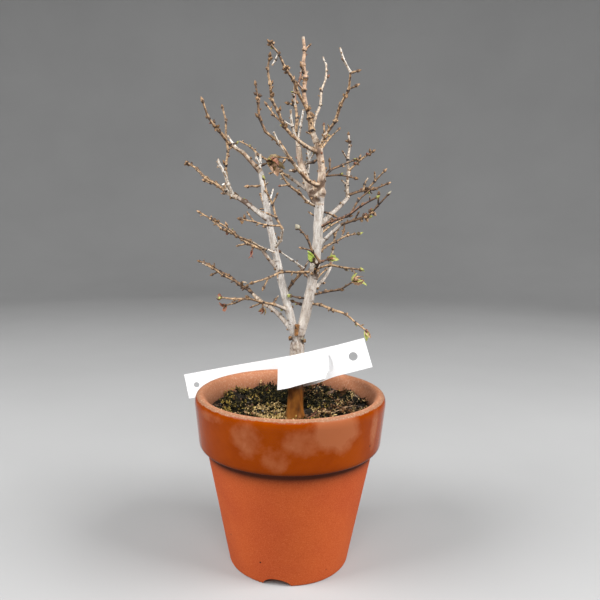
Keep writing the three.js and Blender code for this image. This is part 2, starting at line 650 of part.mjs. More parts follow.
// Alternate buds at the joints, some of them grown out into short spurs.
function sideSolids(shoot, mass, crowd) {
  const solids = [];
  const joints = Math.round(shoot.reach / JOINT_SPACING);
  for (let joint = 1; joint < joints; joint++) {
    const share = joint / joints;
    const foot = shoot.line.getPointAt(share);
    const ahead = shoot.line.getTangentAt(share);
    const side = sideOf(ahead, (joint % 2) * Math.PI + 1.6 * (shoot.random() - 0.5));
    const spread = radians(SPUR_SPREAD);
    const outward = ahead.clone().multiplyScalar(Math.cos(spread)).addScaledVector(side, Math.sin(spread));
    const isSpur = shoot.random() < SPUR_SHARE;
    const length = SPUR_LENGTH * (0.7 + 0.6 * shoot.random());
    const tip = foot.clone().addScaledVector(outward, isSpur ? length + BUD_LENGTH : BUD_LENGTH);
    if (!isClear(tip, mass, crowd) || !isClear(foot, mass, crowd)) {
      continue;
    }
    if (isSpur) {
      const twig = new THREE.LineCurve3(foot, foot.clone().addScaledVector(outward, length));
      solids.push(roundAlong(twig, taper(SPUR_WIDTH, SPUR_WIDTH * 0.8), TWIG_SIDES, 1));
      solids.push(budSolid(twig.getPointAt(0.9), outward, BUD_LENGTH, BUD_WIDTH, BUD_WIDTH));
    } else {
      const skin = foot.clone().addScaledVector(side, (shoot.base + shoot.tip) / 5);
      solids.push(budSolid(skin, outward, BUD_LENGTH, BUD_WIDTH, BUD_WIDTH));
    }
  }
  return solids;
}

function massSolid(name, mass, crowd, swollen) {
  let whole = null;
  for (const shoot of mass.shoots.values()) {
    const rings = Math.max(2, Math.round(shoot.reach / JOINT_SPACING));
    const bar = roundAlong(shoot.line, taper(shoot.base, shoot.tip), TWIG_SIDES, rings);
    whole = whole ? whole.add(bar) : bar;
    for (const extra of [...endSolids(shoot), ...sideSolids(shoot, name, crowd)]) {
      whole = whole.add(extra);
    }
  }
  return clearOf(whole, swollen);
}

// The strip narrows where it threads its own slot.
function labelWidthAt(away) {
  const share = THREE.MathUtils.smoothstep(Math.abs(away), LABEL_WAIST_LENGTH / 2, LABEL_WAIST_LENGTH);
  return lerp(LABEL_WAIST, LABEL_WIDTH, share);
}

function labelFrame(line, station) {
  const along = station / (LABEL_LINE.length - 1);
  const ahead = line.getTangent(along);
  const up = new THREE.Vector3(0, 0, 1).addScaledVector(ahead, -ahead.z).normalize();
  return { at: line.getPoint(along), ahead, up, out: ahead.clone().cross(up) };
}

// The flat strip between two stations of its line, standing on edge.
function labelStretch(line, first, last) {
  const count = Math.round((last - first) * SEGMENTS_PER_STATION);
  const waist = labelFrame(line, WAIST_STATION).at;
  const geometry = new THREE.BoxGeometry(1, 1, LABEL_THICKNESS, count, 1, 1);
  const place = geometry.attributes.position;
  for (let i = 0; i < place.count; i++) {
    const station = first + Math.round((place.getX(i) + 0.5) * count) / SEGMENTS_PER_STATION;
    const { at, up, out } = labelFrame(line, station);
    const isTail = station > SLOT_PIECE_END;
    const width = isTail ? labelWidthAt(at.distanceTo(waist)) : LABEL_WIDTH;
    at.addScaledVector(up, place.getY(i) * width);
    at.addScaledVector(out, place.getZ(i));
    place.setXYZ(i, at.x, at.y, at.z);
  }
  return solidOf(geometry);
}

function labelCutter(geometry, line, station) {
  const { at, ahead, up, out } = labelFrame(line, station);
  geometry.applyMatrix4(new THREE.Matrix4().makeBasis(ahead, up, out).setPosition(at));
  return solidOf(geometry);
}

function roundHole(width) {
  const geometry = new THREE.CylinderGeometry(width / 2, width / 2, 6, 14);
  geometry.rotateX(Math.PI / 2);
  return geometry;
}

// The slotted right end and the long tail are one strip, joined behind the trunk.
function labelSolid() {
  const line = new THREE.CatmullRomCurve3(LABEL_LINE.map((row) => new THREE.Vector3(...row)));
  const lastStation = LABEL_LINE.length - 1;
  const slot = new THREE.BoxGeometry(SLOT_WIDTH, SLOT_HEIGHT, 4);
  const rightEnd = labelStretch(line, 0, SLOT_PIECE_END)
    .subtract(labelCutter(slot, line, SLOT_STATION))
    .subtract(labelCutter(roundHole(BIG_HOLE), line, BIG_HOLE_STATION));
  const tail = labelStretch(line, SLOT_PIECE_END - 1 / SEGMENTS_PER_STATION, lastStation)
    .subtract(labelCutter(roundHole(SMALL_HOLE), line, SMALL_HOLE_STATION));
  return rightEnd.add(tail);
}

function build() {
  const bonsai = new THREE.Group();
  bonsai.name = "zelkova_bonsai";
  bonsai.add(meshOf("pot", potSolid(), CLAY));
  bonsai.add(meshOf("soil", soilSolid(), EARTH));
  const limbs = limbLines();
  const masses = shootLines(limbs);
  const crowd = crowdPoints(limbs, masses);
  const { solids, swollen } = limbSolids(limbs);
  solids.forEach((solid, name) => bonsai.add(meshOf(name, solid, OLD_BARK)));
  masses.forEach((mass, name) => {
    bonsai.add(meshOf(name, massSolid(name, mass, crowd, swollen), YOUNG_BARK));
  });
  bonsai.add(meshOf("plant_label", labelSolid(), PLASTIC));
  return bonsai;
}

export default build();
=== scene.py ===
# %% [markdown]
# # A young zelkova bonsai in a clay pot
# The real thing is a small bare tree, about a hand high, in an eleven-centimetre clay pot. Its looks are
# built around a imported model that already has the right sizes, so the first step loads that model and
# keeps its box. Everything here is in millimetres while it is worked out, and in metres once it is a mesh.

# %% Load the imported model
import math

import bmesh
import bpy
import numpy as np
from mathutils import Matrix, Vector, kdtree, noise


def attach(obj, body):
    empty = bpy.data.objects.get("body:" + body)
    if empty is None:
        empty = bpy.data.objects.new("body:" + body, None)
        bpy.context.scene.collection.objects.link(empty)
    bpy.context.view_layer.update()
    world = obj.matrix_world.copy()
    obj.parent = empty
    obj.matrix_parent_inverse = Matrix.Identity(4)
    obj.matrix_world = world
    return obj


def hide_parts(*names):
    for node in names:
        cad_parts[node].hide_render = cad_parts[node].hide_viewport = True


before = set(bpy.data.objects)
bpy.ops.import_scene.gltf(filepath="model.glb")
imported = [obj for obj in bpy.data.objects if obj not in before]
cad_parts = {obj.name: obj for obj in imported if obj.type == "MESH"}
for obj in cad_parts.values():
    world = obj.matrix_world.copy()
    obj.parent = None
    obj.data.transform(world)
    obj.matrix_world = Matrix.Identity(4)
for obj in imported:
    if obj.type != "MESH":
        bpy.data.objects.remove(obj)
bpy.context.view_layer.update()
MM = 0.001

# %% [markdown]
# ## The camera
# The tree is seen from close by and a little above the rim. A lens as long as its sensor is wide gives
# that wide-angle look. The direction could be typed as a rotation, but three small angles are easier
# to correct: how far the camera looks down, how far it turns and how far it is tipped.

# %% Camera
CAMERA_PLACE = Vector((0, -340.1, 196.7))
CAMERA_DOWN = 0.127
CAMERA_TURN = 0.014
CAMERA_TIP = 0.014
SENSOR = 36
CLIP_START = 0.01


def placed(name, data):
    """A new object in the scene for a mesh, a light or a camera."""
    thing = bpy.data.objects.new(name, data)
    bpy.context.scene.collection.objects.link(thing)
    return thing


def camera_axes(down, turn, tip):
    """The camera's right, up and backward directions as a rotation."""
    ahead = Vector((
        math.sin(turn) * math.cos(down),
        math.cos(turn) * math.cos(down),
        -math.sin(down),
    ))
    level = Vector((math.cos(turn), -math.sin(turn), 0))
    upright = level.cross(ahead)
    right = level * math.cos(tip) + upright * math.sin(tip)
    up = upright * math.cos(tip) - level * math.sin(tip)
    return Matrix((right, up, -ahead)).transposed()


def make_camera():
    data = bpy.data.cameras.new("camera")
    data.sensor_width = SENSOR
    data.lens = SENSOR
    data.clip_start = CLIP_START
    camera = placed("camera", data)
    camera.matrix_world = (
        Matrix.Translation(CAMERA_PLACE * MM)
        @ camera_axes(CAMERA_DOWN, CAMERA_TURN, CAMERA_TIP).to_4x4()
    )
    return camera


bpy.context.scene.camera = make_camera()
print("camera at", list(CAMERA_PLACE), "mm, lens", SENSOR, "mm")

# %% [markdown]
# ## Meshes from arrays
# A tree has thousands of small shapes: rings of bark, bud scales, crumbs of soil. Making each one with an
# operator would be slow, and instances get lost in an export. So every kind is piled up as plain arrays
# of points and faces, and becomes one mesh at the end. Each face also remembers which finish it takes.

# %% Piles of small shapes
class Pile:
    """Small shapes gathered as arrays, to become one mesh."""

    def __init__(self):
        self.points = []
        self.faces = []
        self.finish = []
        self.size = 0

    def add(self, points, faces, finish=0):
        """finish is one number for the whole shape, or one for each of its faces."""
        self.points.append(np.asarray(points, float))
        self.faces.extend(tuple(corner + self.size for corner in face) for face in faces)
        self.finish.extend([finish] * len(faces) if np.isscalar(finish) else finish)
        self.size += len(points)

    def piece(self, name, finishes, smooth_angle=180):
        mesh = bpy.data.meshes.new(name)
        mesh.from_pydata(np.concatenate(self.points) * MM, [], self.faces)
        mesh.polygons.foreach_set("material_index", self.finish)
        return dressed(name, mesh, finishes, smooth_angle)


def dressed(name, mesh, finishes, smooth_angle=180):
    """A shown piece of the object from a mesh, riding on the one body."""
    for finish in finishes:
        mesh.materials.append(finish)
    mesh.polygons.foreach_set("use_smooth", [True] * len(mesh.polygons))
    if smooth_angle < 180:
        mesh.set_sharp_from_angle(angle=math.radians(smooth_angle))
    mesh.update()
    piece = placed(name, mesh)
    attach(piece, "root")
    triangles = sum(len(face.vertices) - 2 for face in mesh.polygons)
    print(name, "has", triangles, "triangles")
    return piece


print("a new pile holds", Pile().size, "points")

# %% [markdown]
# ### Passing shapes
# Some shapes only help to make others, as a potter's wire does: a modifier uses them, and then they are
# taken away. A mesh could be read and changed point by point, but that is slow, so whole arrays go in
# and out. Most bodies here are rows of points, joined by four-sided faces and closed at both ends.

# %% Helper meshes
def plain_object(name, points, faces):
    """A helper mesh, such as a cutter, which is taken away again after use."""
    mesh = bpy.data.meshes.new(name)
    mesh.from_pydata(np.asarray(points) * MM, [], faces)
    return placed(name, mesh)


def with_modifiers(helper):
    """The helper's mesh after its modifiers; the helper itself is removed."""
    bpy.context.view_layer.update()
    shown = helper.evaluated_get(bpy.context.evaluated_depsgraph_get())
    mesh = bpy.data.meshes.new_from_object(shown)
    bpy.data.objects.remove(helper)
    return mesh


def set_attribute(mesh, name, values):
    layer = mesh.attributes.new(name, "FLOAT", "POINT")
    layer.data.foreach_set("value", np.asarray(values, np.float32))


def points_of(mesh):
    """A mesh's points in millimetres."""
    flat = np.zeros(len(mesh.vertices) * 3)
    mesh.vertices.foreach_get("co", flat)
    return flat.reshape(-1, 3) / MM


def lattice_faces(rows, columns, closed):
    """Four-sided faces between rows of points; closed joins each row's end to its start."""
    steps = columns if closed else columns - 1
    row, column = np.meshgrid(np.arange(rows - 1), np.arange(steps), indexing="ij")
    here = row * columns + column
    beside = row * columns + (column + 1) % columns
    return np.stack([here, beside, beside + columns, here + columns], -1).reshape(-1, 4).tolist()


def capped_faces(rows, columns):
    """Faces of a closed tube of points, with a cap on each end."""
    last = (rows - 1) * columns
    caps = [list(range(columns))[::-1], list(range(last, last + columns))]
    return lattice_faces(rows, columns, True) + caps


def even_turns(count):
    """Angles that share out a full turn."""
    return np.arange(count) * 2 * math.pi / count


def search_tree(points):
    """Finds the nearest of many points quickly."""
    tree = kdtree.KDTree(len(points))
    for index, point in enumerate(points):
        tree.insert(point, index)
    tree.balance()
    return tree


print("a sheet of 3 by 4 points has", len(lattice_faces(3, 4, False)), "faces")

# %% [markdown]
# ## Finishes from nodes
# Each finish is a Principled shader with noise for its mottling and bump for its grain. The colours are
# written as on a paint card, 0 to 255, and turned into the linear values that Blender mixes. A few short
# helpers keep each finish readable, because wiring nodes one by one takes many lines.

# %% Helpers for finishes
def paint(red, green, blue):
    """A paint-card colour as linear red, green, blue and alpha, by the usual screen curve."""
    card = np.array([red, green, blue]) / 255
    linear = np.where(card <= 0.04045, card / 12.92, ((card + 0.055) / 1.055) ** 2.4)
    return (*linear.tolist(), 1.0)


class Finish:
    """A material under construction, with short names for the nodes that it uses."""

    def __init__(self, name, roughness=0.8, specular=0.5):
        self.material = bpy.data.materials.new(name)
        self.material.use_nodes = True
        self.tree = self.material.node_tree
        self.shader = self.tree.nodes["Principled BSDF"]
        self.feed(self.shader, {"Roughness": roughness, "Specular IOR Level": specular})
        self.place = self.node("TexCoord").outputs["Object"]

    def feed(self, node, inputs):
        """Sets each listed input to its value, or links it to another node's output."""
        for name, value in inputs.items():
            if isinstance(value, bpy.types.NodeSocket):
                self.tree.links.new(value, node.inputs[name])
            else:
                node.inputs[name].default_value = value

    def node(self, kind, inputs=None):
        node = self.tree.nodes.new("ShaderNode" + kind)
        self.feed(node, inputs or {})
        return node

    def stretched(self, x, y, z):
        """Coordinates scaled along each axis, for streaks."""
        return self.node("Mapping", {"Scale": (x, y, z), "Vector": self.place}).outputs["Vector"]

    def noise(self, size, detail=3, roughness=0.55, place=None):
        """Clouds whose lumps are about size millimetres across."""
        clouds = {"Scale": 1 / (size * MM), "Detail": detail, "Roughness": roughness}
        return self.node("TexNoise", {**clouds, "Vector": place or self.place}).outputs["Fac"]

    def specks(self, spacing):
        """Distance from scattered spots, in units of their spacing."""
        spots = {"Scale": 1 / (spacing * MM), "Vector": self.place}
        return self.node("TexVoronoi", spots).outputs["Distance"]

    def attribute(self, name):
        node = self.node("Attribute")
        node.attribute_name = name
        return node.outputs["Fac"]

    def ramp(self, factor, *stops):
        """A colour ramp from (place, colour) stops; a plain number stands for a grey."""
        node = self.node("ValToRGB", {"Fac": factor})
        bands = node.color_ramp.elements
        while len(bands) < len(stops):
            bands.new(1.0)
        for band, (place, colour) in zip(bands, stops):
            band.position = place
            band.color = (colour,) * 3 + (1,) if np.isscalar(colour) else colour
        return node.outputs["Color"]

    def math(self, operation, one, two):
        node = self.node("Math", {0: one, 1: two})
        node.operation = operation
        return node.outputs["Value"]

    def mix(self, factor, one, two):
        """One colour over another; the node has an A and a B of every type, told apart by identifier."""
        node = self.node("Mix")
        node.data_type = "RGBA"
        number = {socket.identifier: index for index, socket in enumerate(node.inputs)}
        self.feed(node, {number["Factor_Float"]: factor, number["A_Color"]: one, number["B_Color"]: two})
        return next(socket for socket in node.outputs if socket.identifier == "Result_Color")

    def colour(self, source):
        self.feed(self.shader, {"Base Color": source})

    def gloss(self, source):
        self.feed(self.shader, {"Roughness": source})

    def bump(self, height, depth, strength=0.6):
        """Fine relief, depth in millimetres."""
        node = self.node("Bump", {"Strength": strength, "Distance": depth * MM, "Height": height})
        self.feed(self.shader, {"Normal": node.outputs["Normal"]})


print("half way on the card is", round(paint(128, 128, 128)[0], 3), "in linear light")

# %% [markdown]
# ## The clay pot
# The pot is turned: a straight tapering wall, a deep collar that stands proud of it, and a rounded rim.
# A turned profile carried round the axis gives that exactly. Low arches cut into the foot let water out,
# and these are cut with a Boolean, because they cross the turned shape. The sizes are those of the solid.

# %% Pot profile
POT_HEIGHT = 100
LIP = 96
RIM_RADIUS = 55
RIM_WIDTH = 6
COLLAR_FOOT = 70
COLLAR_FOOT_RADIUS = 52.4
NECK_RADIUS = 48.6
FOOT_RADIUS = 35
WALL = 6
FLOOR = 9
POT_SIDES = 192
PROFILE_STEP = 1.2
CENTRE_RADIUS = 0.4


def inner_radius(height):
    share = (height - FLOOR) / (POT_HEIGHT - FLOOR)
    return FOOT_RADIUS - WALL + share * (RIM_RADIUS - RIM_WIDTH - FOOT_RADIUS + WALL)


def straight(end):
    return lambda start: even_steps(start, np.array(end, float))


def even_steps(start, end):
    count = max(1, round(np.linalg.norm(end - start) / PROFILE_STEP))
    return [start + (end - start) * step / count for step in range(1, count + 1)]


def rounded(middle, end, steps=7):
    """A bent stretch from the last point to end, drawn towards middle."""
    def points(start):
        shares = np.arange(1, steps + 1)[:, None] / steps
        middle_, end_ = np.array(middle, float), np.array(end, float)
        return list((1 - shares) ** 2 * start + 2 * shares * (1 - shares) * middle_ + shares**2 * end_)
    return points


def pot_profile():
    """Radius and height of each point, from the underside's centre out, up, over the rim and in."""
    stretches = [
        straight((FOOT_RADIUS - 1, 0)),
        rounded((FOOT_RADIUS, 0), (FOOT_RADIUS + 0.2, 1)),
        straight((NECK_RADIUS - 0.5, COLLAR_FOOT - 3)),
        rounded((NECK_RADIUS, COLLAR_FOOT), (NECK_RADIUS + 1.5, COLLAR_FOOT + 0.4)),
        straight((COLLAR_FOOT_RADIUS - 1.5, COLLAR_FOOT)),
        rounded((COLLAR_FOOT_RADIUS, COLLAR_FOOT), (COLLAR_FOOT_RADIUS + 0.3, COLLAR_FOOT + 2.5)),
        straight((RIM_RADIUS, POT_HEIGHT - 5)),
        rounded((RIM_RADIUS + 0.2, POT_HEIGHT - 0.6), (RIM_RADIUS - 2.6, POT_HEIGHT)),
        rounded((RIM_RADIUS - RIM_WIDTH + 0.2, POT_HEIGHT), (inner_radius(LIP), LIP)),
        straight((inner_radius(FLOOR + 2), FLOOR + 2)),
        straight((inner_radius(FLOOR) - 2, FLOOR)),
        straight((CENTRE_RADIUS, FLOOR)),
    ]
    points = [np.array((CENTRE_RADIUS, 0.0))]
    for stretch in stretches:
        points.extend(stretch(points[-1]))
    return np.array(points)


profile = pot_profile()
print("pot profile has", len(profile), "points")

# %% [markdown]
# ### Cutters for the foot
# The drains are low arches in the foot, each with a round hole in the floor behind it. They could be
# drawn into the profile only if they ran all round. They don't, so each is a closed block, an arch or a
# peg, that will be taken out of the turned wall.

# %% Cutters for the foot
GROOVES = 3
FRONT_GROOVE_TURN = -102.5
GROOVE_STEEP_HALF = 6.6
GROOVE_GENTLE_HALF = 9.2
GROOVE_HEIGHT = 4.2
GROOVE_INNER_END = 13
DRAIN_RADIUS = 4.5
DRAIN_OFFSET = 20
DRAIN_TWIST = 5


def turned(points, sides):
    """A closed turned body from a profile of radius and height."""
    turns = even_turns(sides)
    radius, height = points[:, :1], np.repeat(points[:, 1:], sides, 1)
    ring = np.stack([radius * np.cos(turns), radius * np.sin(turns), height], -1)
    return ring.reshape(-1, 3), capped_faces(len(points), sides)


def turn_about_axis(points, degrees):
    turn = math.radians(degrees)
    x, y, z = np.asarray(points, float).T
    return np.stack([
        x * math.cos(turn) - y * math.sin(turn),
        x * math.sin(turn) + y * math.cos(turn),
        z,
    ], -1)


def groove_cutter(degrees):
    """A low arch, steep on one flank, pushed in from the foot's edge."""
    shares = np.linspace(0, math.pi, 17)
    half = np.where(shares < math.pi / 2, GROOVE_GENTLE_HALF, GROOVE_STEEP_HALF)
    across = half * np.cos(shares)
    height = GROOVE_HEIGHT * np.sin(shares) ** 1.2
    arch = [(GROOVE_GENTLE_HALF, -1), *zip(across, height), (-GROOVE_STEEP_HALF, -1)]
    ends = [GROOVE_INNER_END, FOOT_RADIUS + 5]
    points = [(end, across, up) for end in ends for across, up in arch]
    return plain_object("groove", turn_about_axis(points, degrees), capped_faces(2, len(arch)))


def drain_cutter(degrees):
    """A round peg; the small twist keeps its corners off the crest of the arch."""
    points, faces = turned(np.array([(DRAIN_RADIUS, -2), (DRAIN_RADIUS, FLOOR + 2)]), 32)
    points = turn_about_axis(points, DRAIN_TWIST) + (DRAIN_OFFSET, 0, 0)
    return plain_object("drain", turn_about_axis(points, degrees), faces)


print("drains", GROOVES, "each", GROOVE_HEIGHT, "mm high")

# %% [markdown]
# ### Turned wall
# A potter turns the wall on a wheel, so it is nearly round but never quite. A Screw modifier would turn
# the profile exactly round. Arrays are used, because each point is then pushed out a little by noise,
# like the wobble of a hand, before the drains are cut.

# %% Pot mesh
HAND_WOBBLE = 0.12
WOBBLE_SIZE = 26


def cut(body, cutters):
    for cutter in cutters:
        knife = body.modifiers.new(cutter.name, "BOOLEAN")
        knife.operation = "DIFFERENCE"
        knife.solver = "MANIFOLD"
        knife.object = cutter
    mesh = with_modifiers(body)
    mesh.materials.clear()
    for cutter in cutters:
        bpy.data.objects.remove(cutter)
    return mesh


def pot_mesh():
    points, faces = turned(profile, POT_SIDES)
    for point in points:
        outward = Vector((point[0], point[1], 0)).normalized()
        swell = HAND_WOBBLE * noise.noise(Vector(point) / WOBBLE_SIZE)
        point += np.array(outward) * swell
    turns = [FRONT_GROOVE_TURN + 360 / GROOVES * step for step in range(GROOVES)]
    cutters = [groove_cutter(turn) for turn in turns] + [drain_cutter(turn) for turn in turns]
    return cut(plain_object("pot_blank", points, faces), cutters)


pot = pot_mesh()
print("pot mesh has", len(pot.polygons), "faces")

# %% [markdown]
# ## Where the glaze lies
# Only the collar is glazed, and the glaze stops in a ragged line on top of the rim. Height alone can't
# tell the outside from the inside, so each point of the pot is told how far along the profile it lies.
# The finish can then change at a place on the profile, and noise makes that line ragged.

# %% Places along the profile
def profile_lengths():
    steps = np.linalg.norm(np.diff(profile, axis=0), axis=1)
    return np.concatenate([[0], np.cumsum(steps)])


def along_profile(points):
    """How far along the profile each point lies, from the underside's centre over the rim."""
    reached = profile_lengths()
    tree = search_tree([(radius, height, 0) for radius, height in profile])
    flat = np.hypot(points[:, 0], points[:, 1])
    return np.array([reached[tree.find((r, z, 0))[1]] for r, z in zip(flat, points[:, 2])])


pot_points = points_of(pot)
pot_along = along_profile(pot_points)
CREST = profile_lengths()[int(np.argmax(profile[:, 1]))]
print("rim crest at", round(CREST, 1), "mm along the profile")

# %% [markdown]
# ### Bloom, stain and painted shade
# Lime from hard water leaves pale clouds on the collar, which also serve as a painted reflection of the
# windows. Damp stains the clay above the soil, with painted shade there too, and painted shade darkens
# the corner under the collar. Vertex paint would hold this too, but a short table of patches can be
# corrected by number. The back has patches as well, so that the pot is finished all round.

# %% Glaze, bloom and painted shade on the pot
# pale patches of lime bloom, which also stand in for a painted reflection of the windows on the glaze
BLOOM_AND_REFLECTION_PATCHES = [
    # turn from the front, height, half width in degrees, half height, strength
    (-24, 88, 9, 9, 0.7),
    (-8, 79, 9, 8, 0.55),
    (8, 88, 12, 8, 0.65),
    (25, 92, 14, 10, 0.95),
    (-50, 95, 12, 3, 0.5),
    (56, 88, 4, 12, 0.7),
    (95, 84, 14, 9, 0.6),
    (140, 91, 12, 7, 0.7),
    (178, 82, 16, 9, 0.6),
    (-140, 90, 14, 8, 0.7),
    (-100, 86, 12, 8, 0.6),
]
PATCH_EDGE = 1.6
STAIN_TOP = 96
STAIN_DEPTH = 9
DAMP_AND_SHADE_STRENGTH = 0.7
# painted shade in the corner under the collar and on the collar's lower edge
CORNER_STRENGTH = 0.88
CORNER_DEPTH = 3
CORNER_ABOVE = 1.2
CORNER_ON_COLLAR = 0.85
RIM_CLAY_FOOT = 80


def bloom_and_reflection_at(points):
    front = np.degrees(np.arctan2(points[:, 0], -points[:, 1]))
    bloom_and_reflection = np.zeros(len(points))
    for turn, height, half_turn, half_height, strength in BLOOM_AND_REFLECTION_PATCHES:
        sideways = ((front - turn + 180) % 360 - 180) / half_turn
        upward = (points[:, 2] - height) / half_height
        bloom_and_reflection = np.maximum(bloom_and_reflection, strength * np.clip(PATCH_EDGE - np.hypot(sideways, upward), 0, 1))
    return bloom_and_reflection


def stain_and_shade_at(points, along):
    """Damp stain and painted shade on the inner wall above the soil, and painted shade in the corner under
    the collar.
    """
    inside = along > along[np.argmax(points[:, 2])]
    # the inner wall grows darker towards the soil: a damp stain together with painted shade
    damp = DAMP_AND_SHADE_STRENGTH * inside * np.clip((STAIN_TOP - points[:, 2]) / STAIN_DEPTH, 0, 1)
    below = COLLAR_FOOT - points[:, 2]
    under = np.exp(-np.maximum(below - CORNER_DEPTH, 0) / CORNER_DEPTH)
    above = CORNER_ON_COLLAR * np.exp(below / CORNER_ABOVE)
    corner = ~inside * np.where(below > 0, under, above)
    return np.maximum(damp, CORNER_STRENGTH * corner)


def pot_zones(mesh, points, along):
    """0 for faces of the glazed collar and rim, 1 for bare clay."""
    zones = []
    for face in mesh.polygons:
        corners = list(face.vertices)
        height = points[corners, 2].mean()
        inside = along[corners].mean() > CREST + 0.5
        bare = height < RIM_CLAY_FOOT if inside else height < COLLAR_FOOT + 0.2
        zones.append(int(bare))
    return zones


set_attribute(pot, "along", pot_along)
set_attribute(pot, "bloom_and_reflection", bloom_and_reflection_at(pot_points))
set_attribute(pot, "stain_and_shade", stain_and_shade_at(pot_points, pot_along))
zones = pot_zones(pot, pot_points, pot_along)
pot.polygons.foreach_set("material_index", zones)
print("faces of bare clay", sum(zones), "of", len(zones))

# %% [markdown]
# ### Glazed collar and bare clay
# The collar has a thin brown glaze that shines a little; the wall is rough orange clay with fine grain
# and a few pits. An image could be painted for each, but noise in the pot's own coordinates needs no
# unwrapping and shows no seam. Worn glaze, bloom with its painted reflection and stain with its painted
# shade are mixed in by the places that the mesh carries.

# %% Pot finishes
CLAY = paint(176, 77, 30)
CLAY_DARK = paint(166, 67, 27)
CLAY_LIGHT = paint(197, 113, 64)
CLAY_STAIN = paint(88, 42, 22)
RIM_CLAY = paint(162, 107, 77)
RIM_PALE = paint(194, 160, 136)
RIM_SHOULDER = paint(138, 98, 74)
GLAZE = paint(136, 56, 1)
GLAZE_DARK = paint(124, 47, 1)
BLOOM_AND_REFLECTION = paint(152, 90, 58)
PIT = paint(40, 16, 8)
# the dark colour of the damp stain and of the painted shade inside the pot and under the collar
STAIN_AND_SHADE = paint(36, 13, 5)
GLAZE_RAGGED = 2.6


def collar_finish():
    collar = Finish("glazed_collar", 0.3, 0.06)
    along = collar.attribute("along")
    ragged = collar.math("MULTIPLY", collar.math("SUBTRACT", collar.noise(3, 5, 0.65), 0.5), GLAZE_RAGGED)
    past_crest = collar.math("SUBTRACT", collar.math("ADD", along, ragged), CREST - 2.4)
    on_rim = collar.ramp(past_crest, (0.0, 0.0), (0.5, 1.0))

    # lime bloom on the glaze, which also serves as a painted reflection of the windows
    patches = collar.math("SUBTRACT", collar.noise(8, 5, 0.6), 0.5)
    bloom_and_reflection = collar.math("ADD", collar.attribute("bloom_and_reflection"), patches)
    bloom_and_reflection = collar.ramp(bloom_and_reflection, (0.3, 0.0), (0.82, 0.8))
    streak = collar.noise(16, 4, 0.6)
    glaze = collar.ramp(streak, (0.3, GLAZE_DARK), (0.65, GLAZE))
    pits = collar.ramp(collar.specks(15), (0.025, 1.0), (0.035, 0.0))
    glaze = collar.mix(pits, glaze, PIT)
    glaze = collar.mix(bloom_and_reflection, glaze, BLOOM_AND_REFLECTION)

    lime = collar.ramp(collar.noise(1.2, 5, 0.7), (0.5, 0.0), (0.7, 0.6))
    rim = collar.ramp(collar.math("DIVIDE", past_crest, 10), (0.12, RIM_SHOULDER), (0.36, RIM_CLAY))
    rim = collar.mix(lime, rim, RIM_PALE)
    # damp stain, and painted shade inside the pot and under the collar, mixed in as one dark colour
    stain_and_shade = collar.attribute("stain_and_shade")
    collar.colour(collar.mix(stain_and_shade, collar.mix(on_rim, glaze, rim), STAIN_AND_SHADE))
    sheen = collar.ramp(bloom_and_reflection, (0.0, 0.12), (1.0, 0.34))
    collar.gloss(collar.mix(on_rim, sheen, (0.5, 0.5, 0.5, 1)))
    grain = collar.noise(0.7, 5, 0.7)
    collar.bump(collar.mix(on_rim, streak, grain), 0.1, 0.4)
    return collar.material


def clay_finish():
    clay = Finish("bare_clay", 0.85, 0.2)
    cloud = clay.noise(34, 3)
    tone = clay.ramp(cloud, (0.35, CLAY_DARK), (0.65, CLAY))
    grain = clay.noise(0.55, 6, 0.75)
    tone = clay.mix(clay.ramp(grain, (0.48, 0.0), (0.72, 0.7)), tone, CLAY_LIGHT)
    tone = clay.mix(clay.ramp(grain, (0.28, 0.55), (0.45, 0.0)), tone, CLAY_STAIN)
    pits = clay.ramp(clay.specks(13), (0.04, 1.0), (0.055, 0.0))
    tone = clay.mix(pits, tone, PIT)
    # damp stain, and painted shade inside the pot and under the collar, mixed in as one dark colour
    clay.colour(clay.mix(clay.attribute("stain_and_shade"), tone, STAIN_AND_SHADE))
    clay.bump(grain, 0.16, 0.6)
    return clay.material


pot_piece = dressed("clay_pot", pot, [collar_finish(), clay_finish()], 40)
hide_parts("pot")

# %% [markdown]
# ## Seeded chance
# Nothing here may change from one run to the next, yet a tree and its moss need chance. A counter seeded
# with a name gives it: the same name always draws the same numbers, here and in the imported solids.

# %% Seeded chance
CHANCE_RANGE = 2147483647
CHANCE_START = 7
LETTER_STEP = 31
DRAW_STEP = 48271


def seeded_from(name):
    state = CHANCE_START
    for letter in name:
        state = (state * LETTER_STEP + ord(letter)) % CHANCE_RANGE

    def chance():
        nonlocal state
        state = (state * DRAW_STEP) % CHANCE_RANGE
        return state / CHANCE_RANGE

    return chance


first_draw = seeded_from("moss")()
print("first draw for moss", round(first_draw, 4))

# %% [markdown]
# ## The soil
# The soil lies a little lower than the rim and swells into low cushions of moss. They could be placed by
# hand, but set out like the seeds of a sunflower they cover it evenly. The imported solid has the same
# cushions by the same rule, so what is set on them keeps to the solid.

# %% Cushions of moss
GAP = 0.3
SOIL_LEVEL = 88
CUSHIONS = 30
CUSHION_TURN = 137.5
CUSHION_RADIUS = 8.5
CUSHION_HEIGHT = 3.4
CUSHION_SPREAD = 0.75
TRUNK_FOOT = np.array((2.7, -11, 87.3))
FLAT_AROUND_TRUNK = 9


def smooth_step(value, low, high):
    share = np.clip((value - low) / (high - low), 0, 1)
    return share * share * (3 - 2 * share)


def moss_cushions():
    """Place and height of low domes, about their own radius apart."""
    chance = seeded_from("moss")
    rows = []
    for number in range(CUSHIONS):
        out = inner_radius(SOIL_LEVEL) * math.sqrt((number + 0.5) / CUSHIONS)
        turn = math.radians(CUSHION_TURN * number)
        height = CUSHION_HEIGHT * (1 - CUSHION_SPREAD * chance())
        rows.append((out * math.cos(turn), out * math.sin(turn), height))
    return np.array(rows)


cushions = moss_cushions()


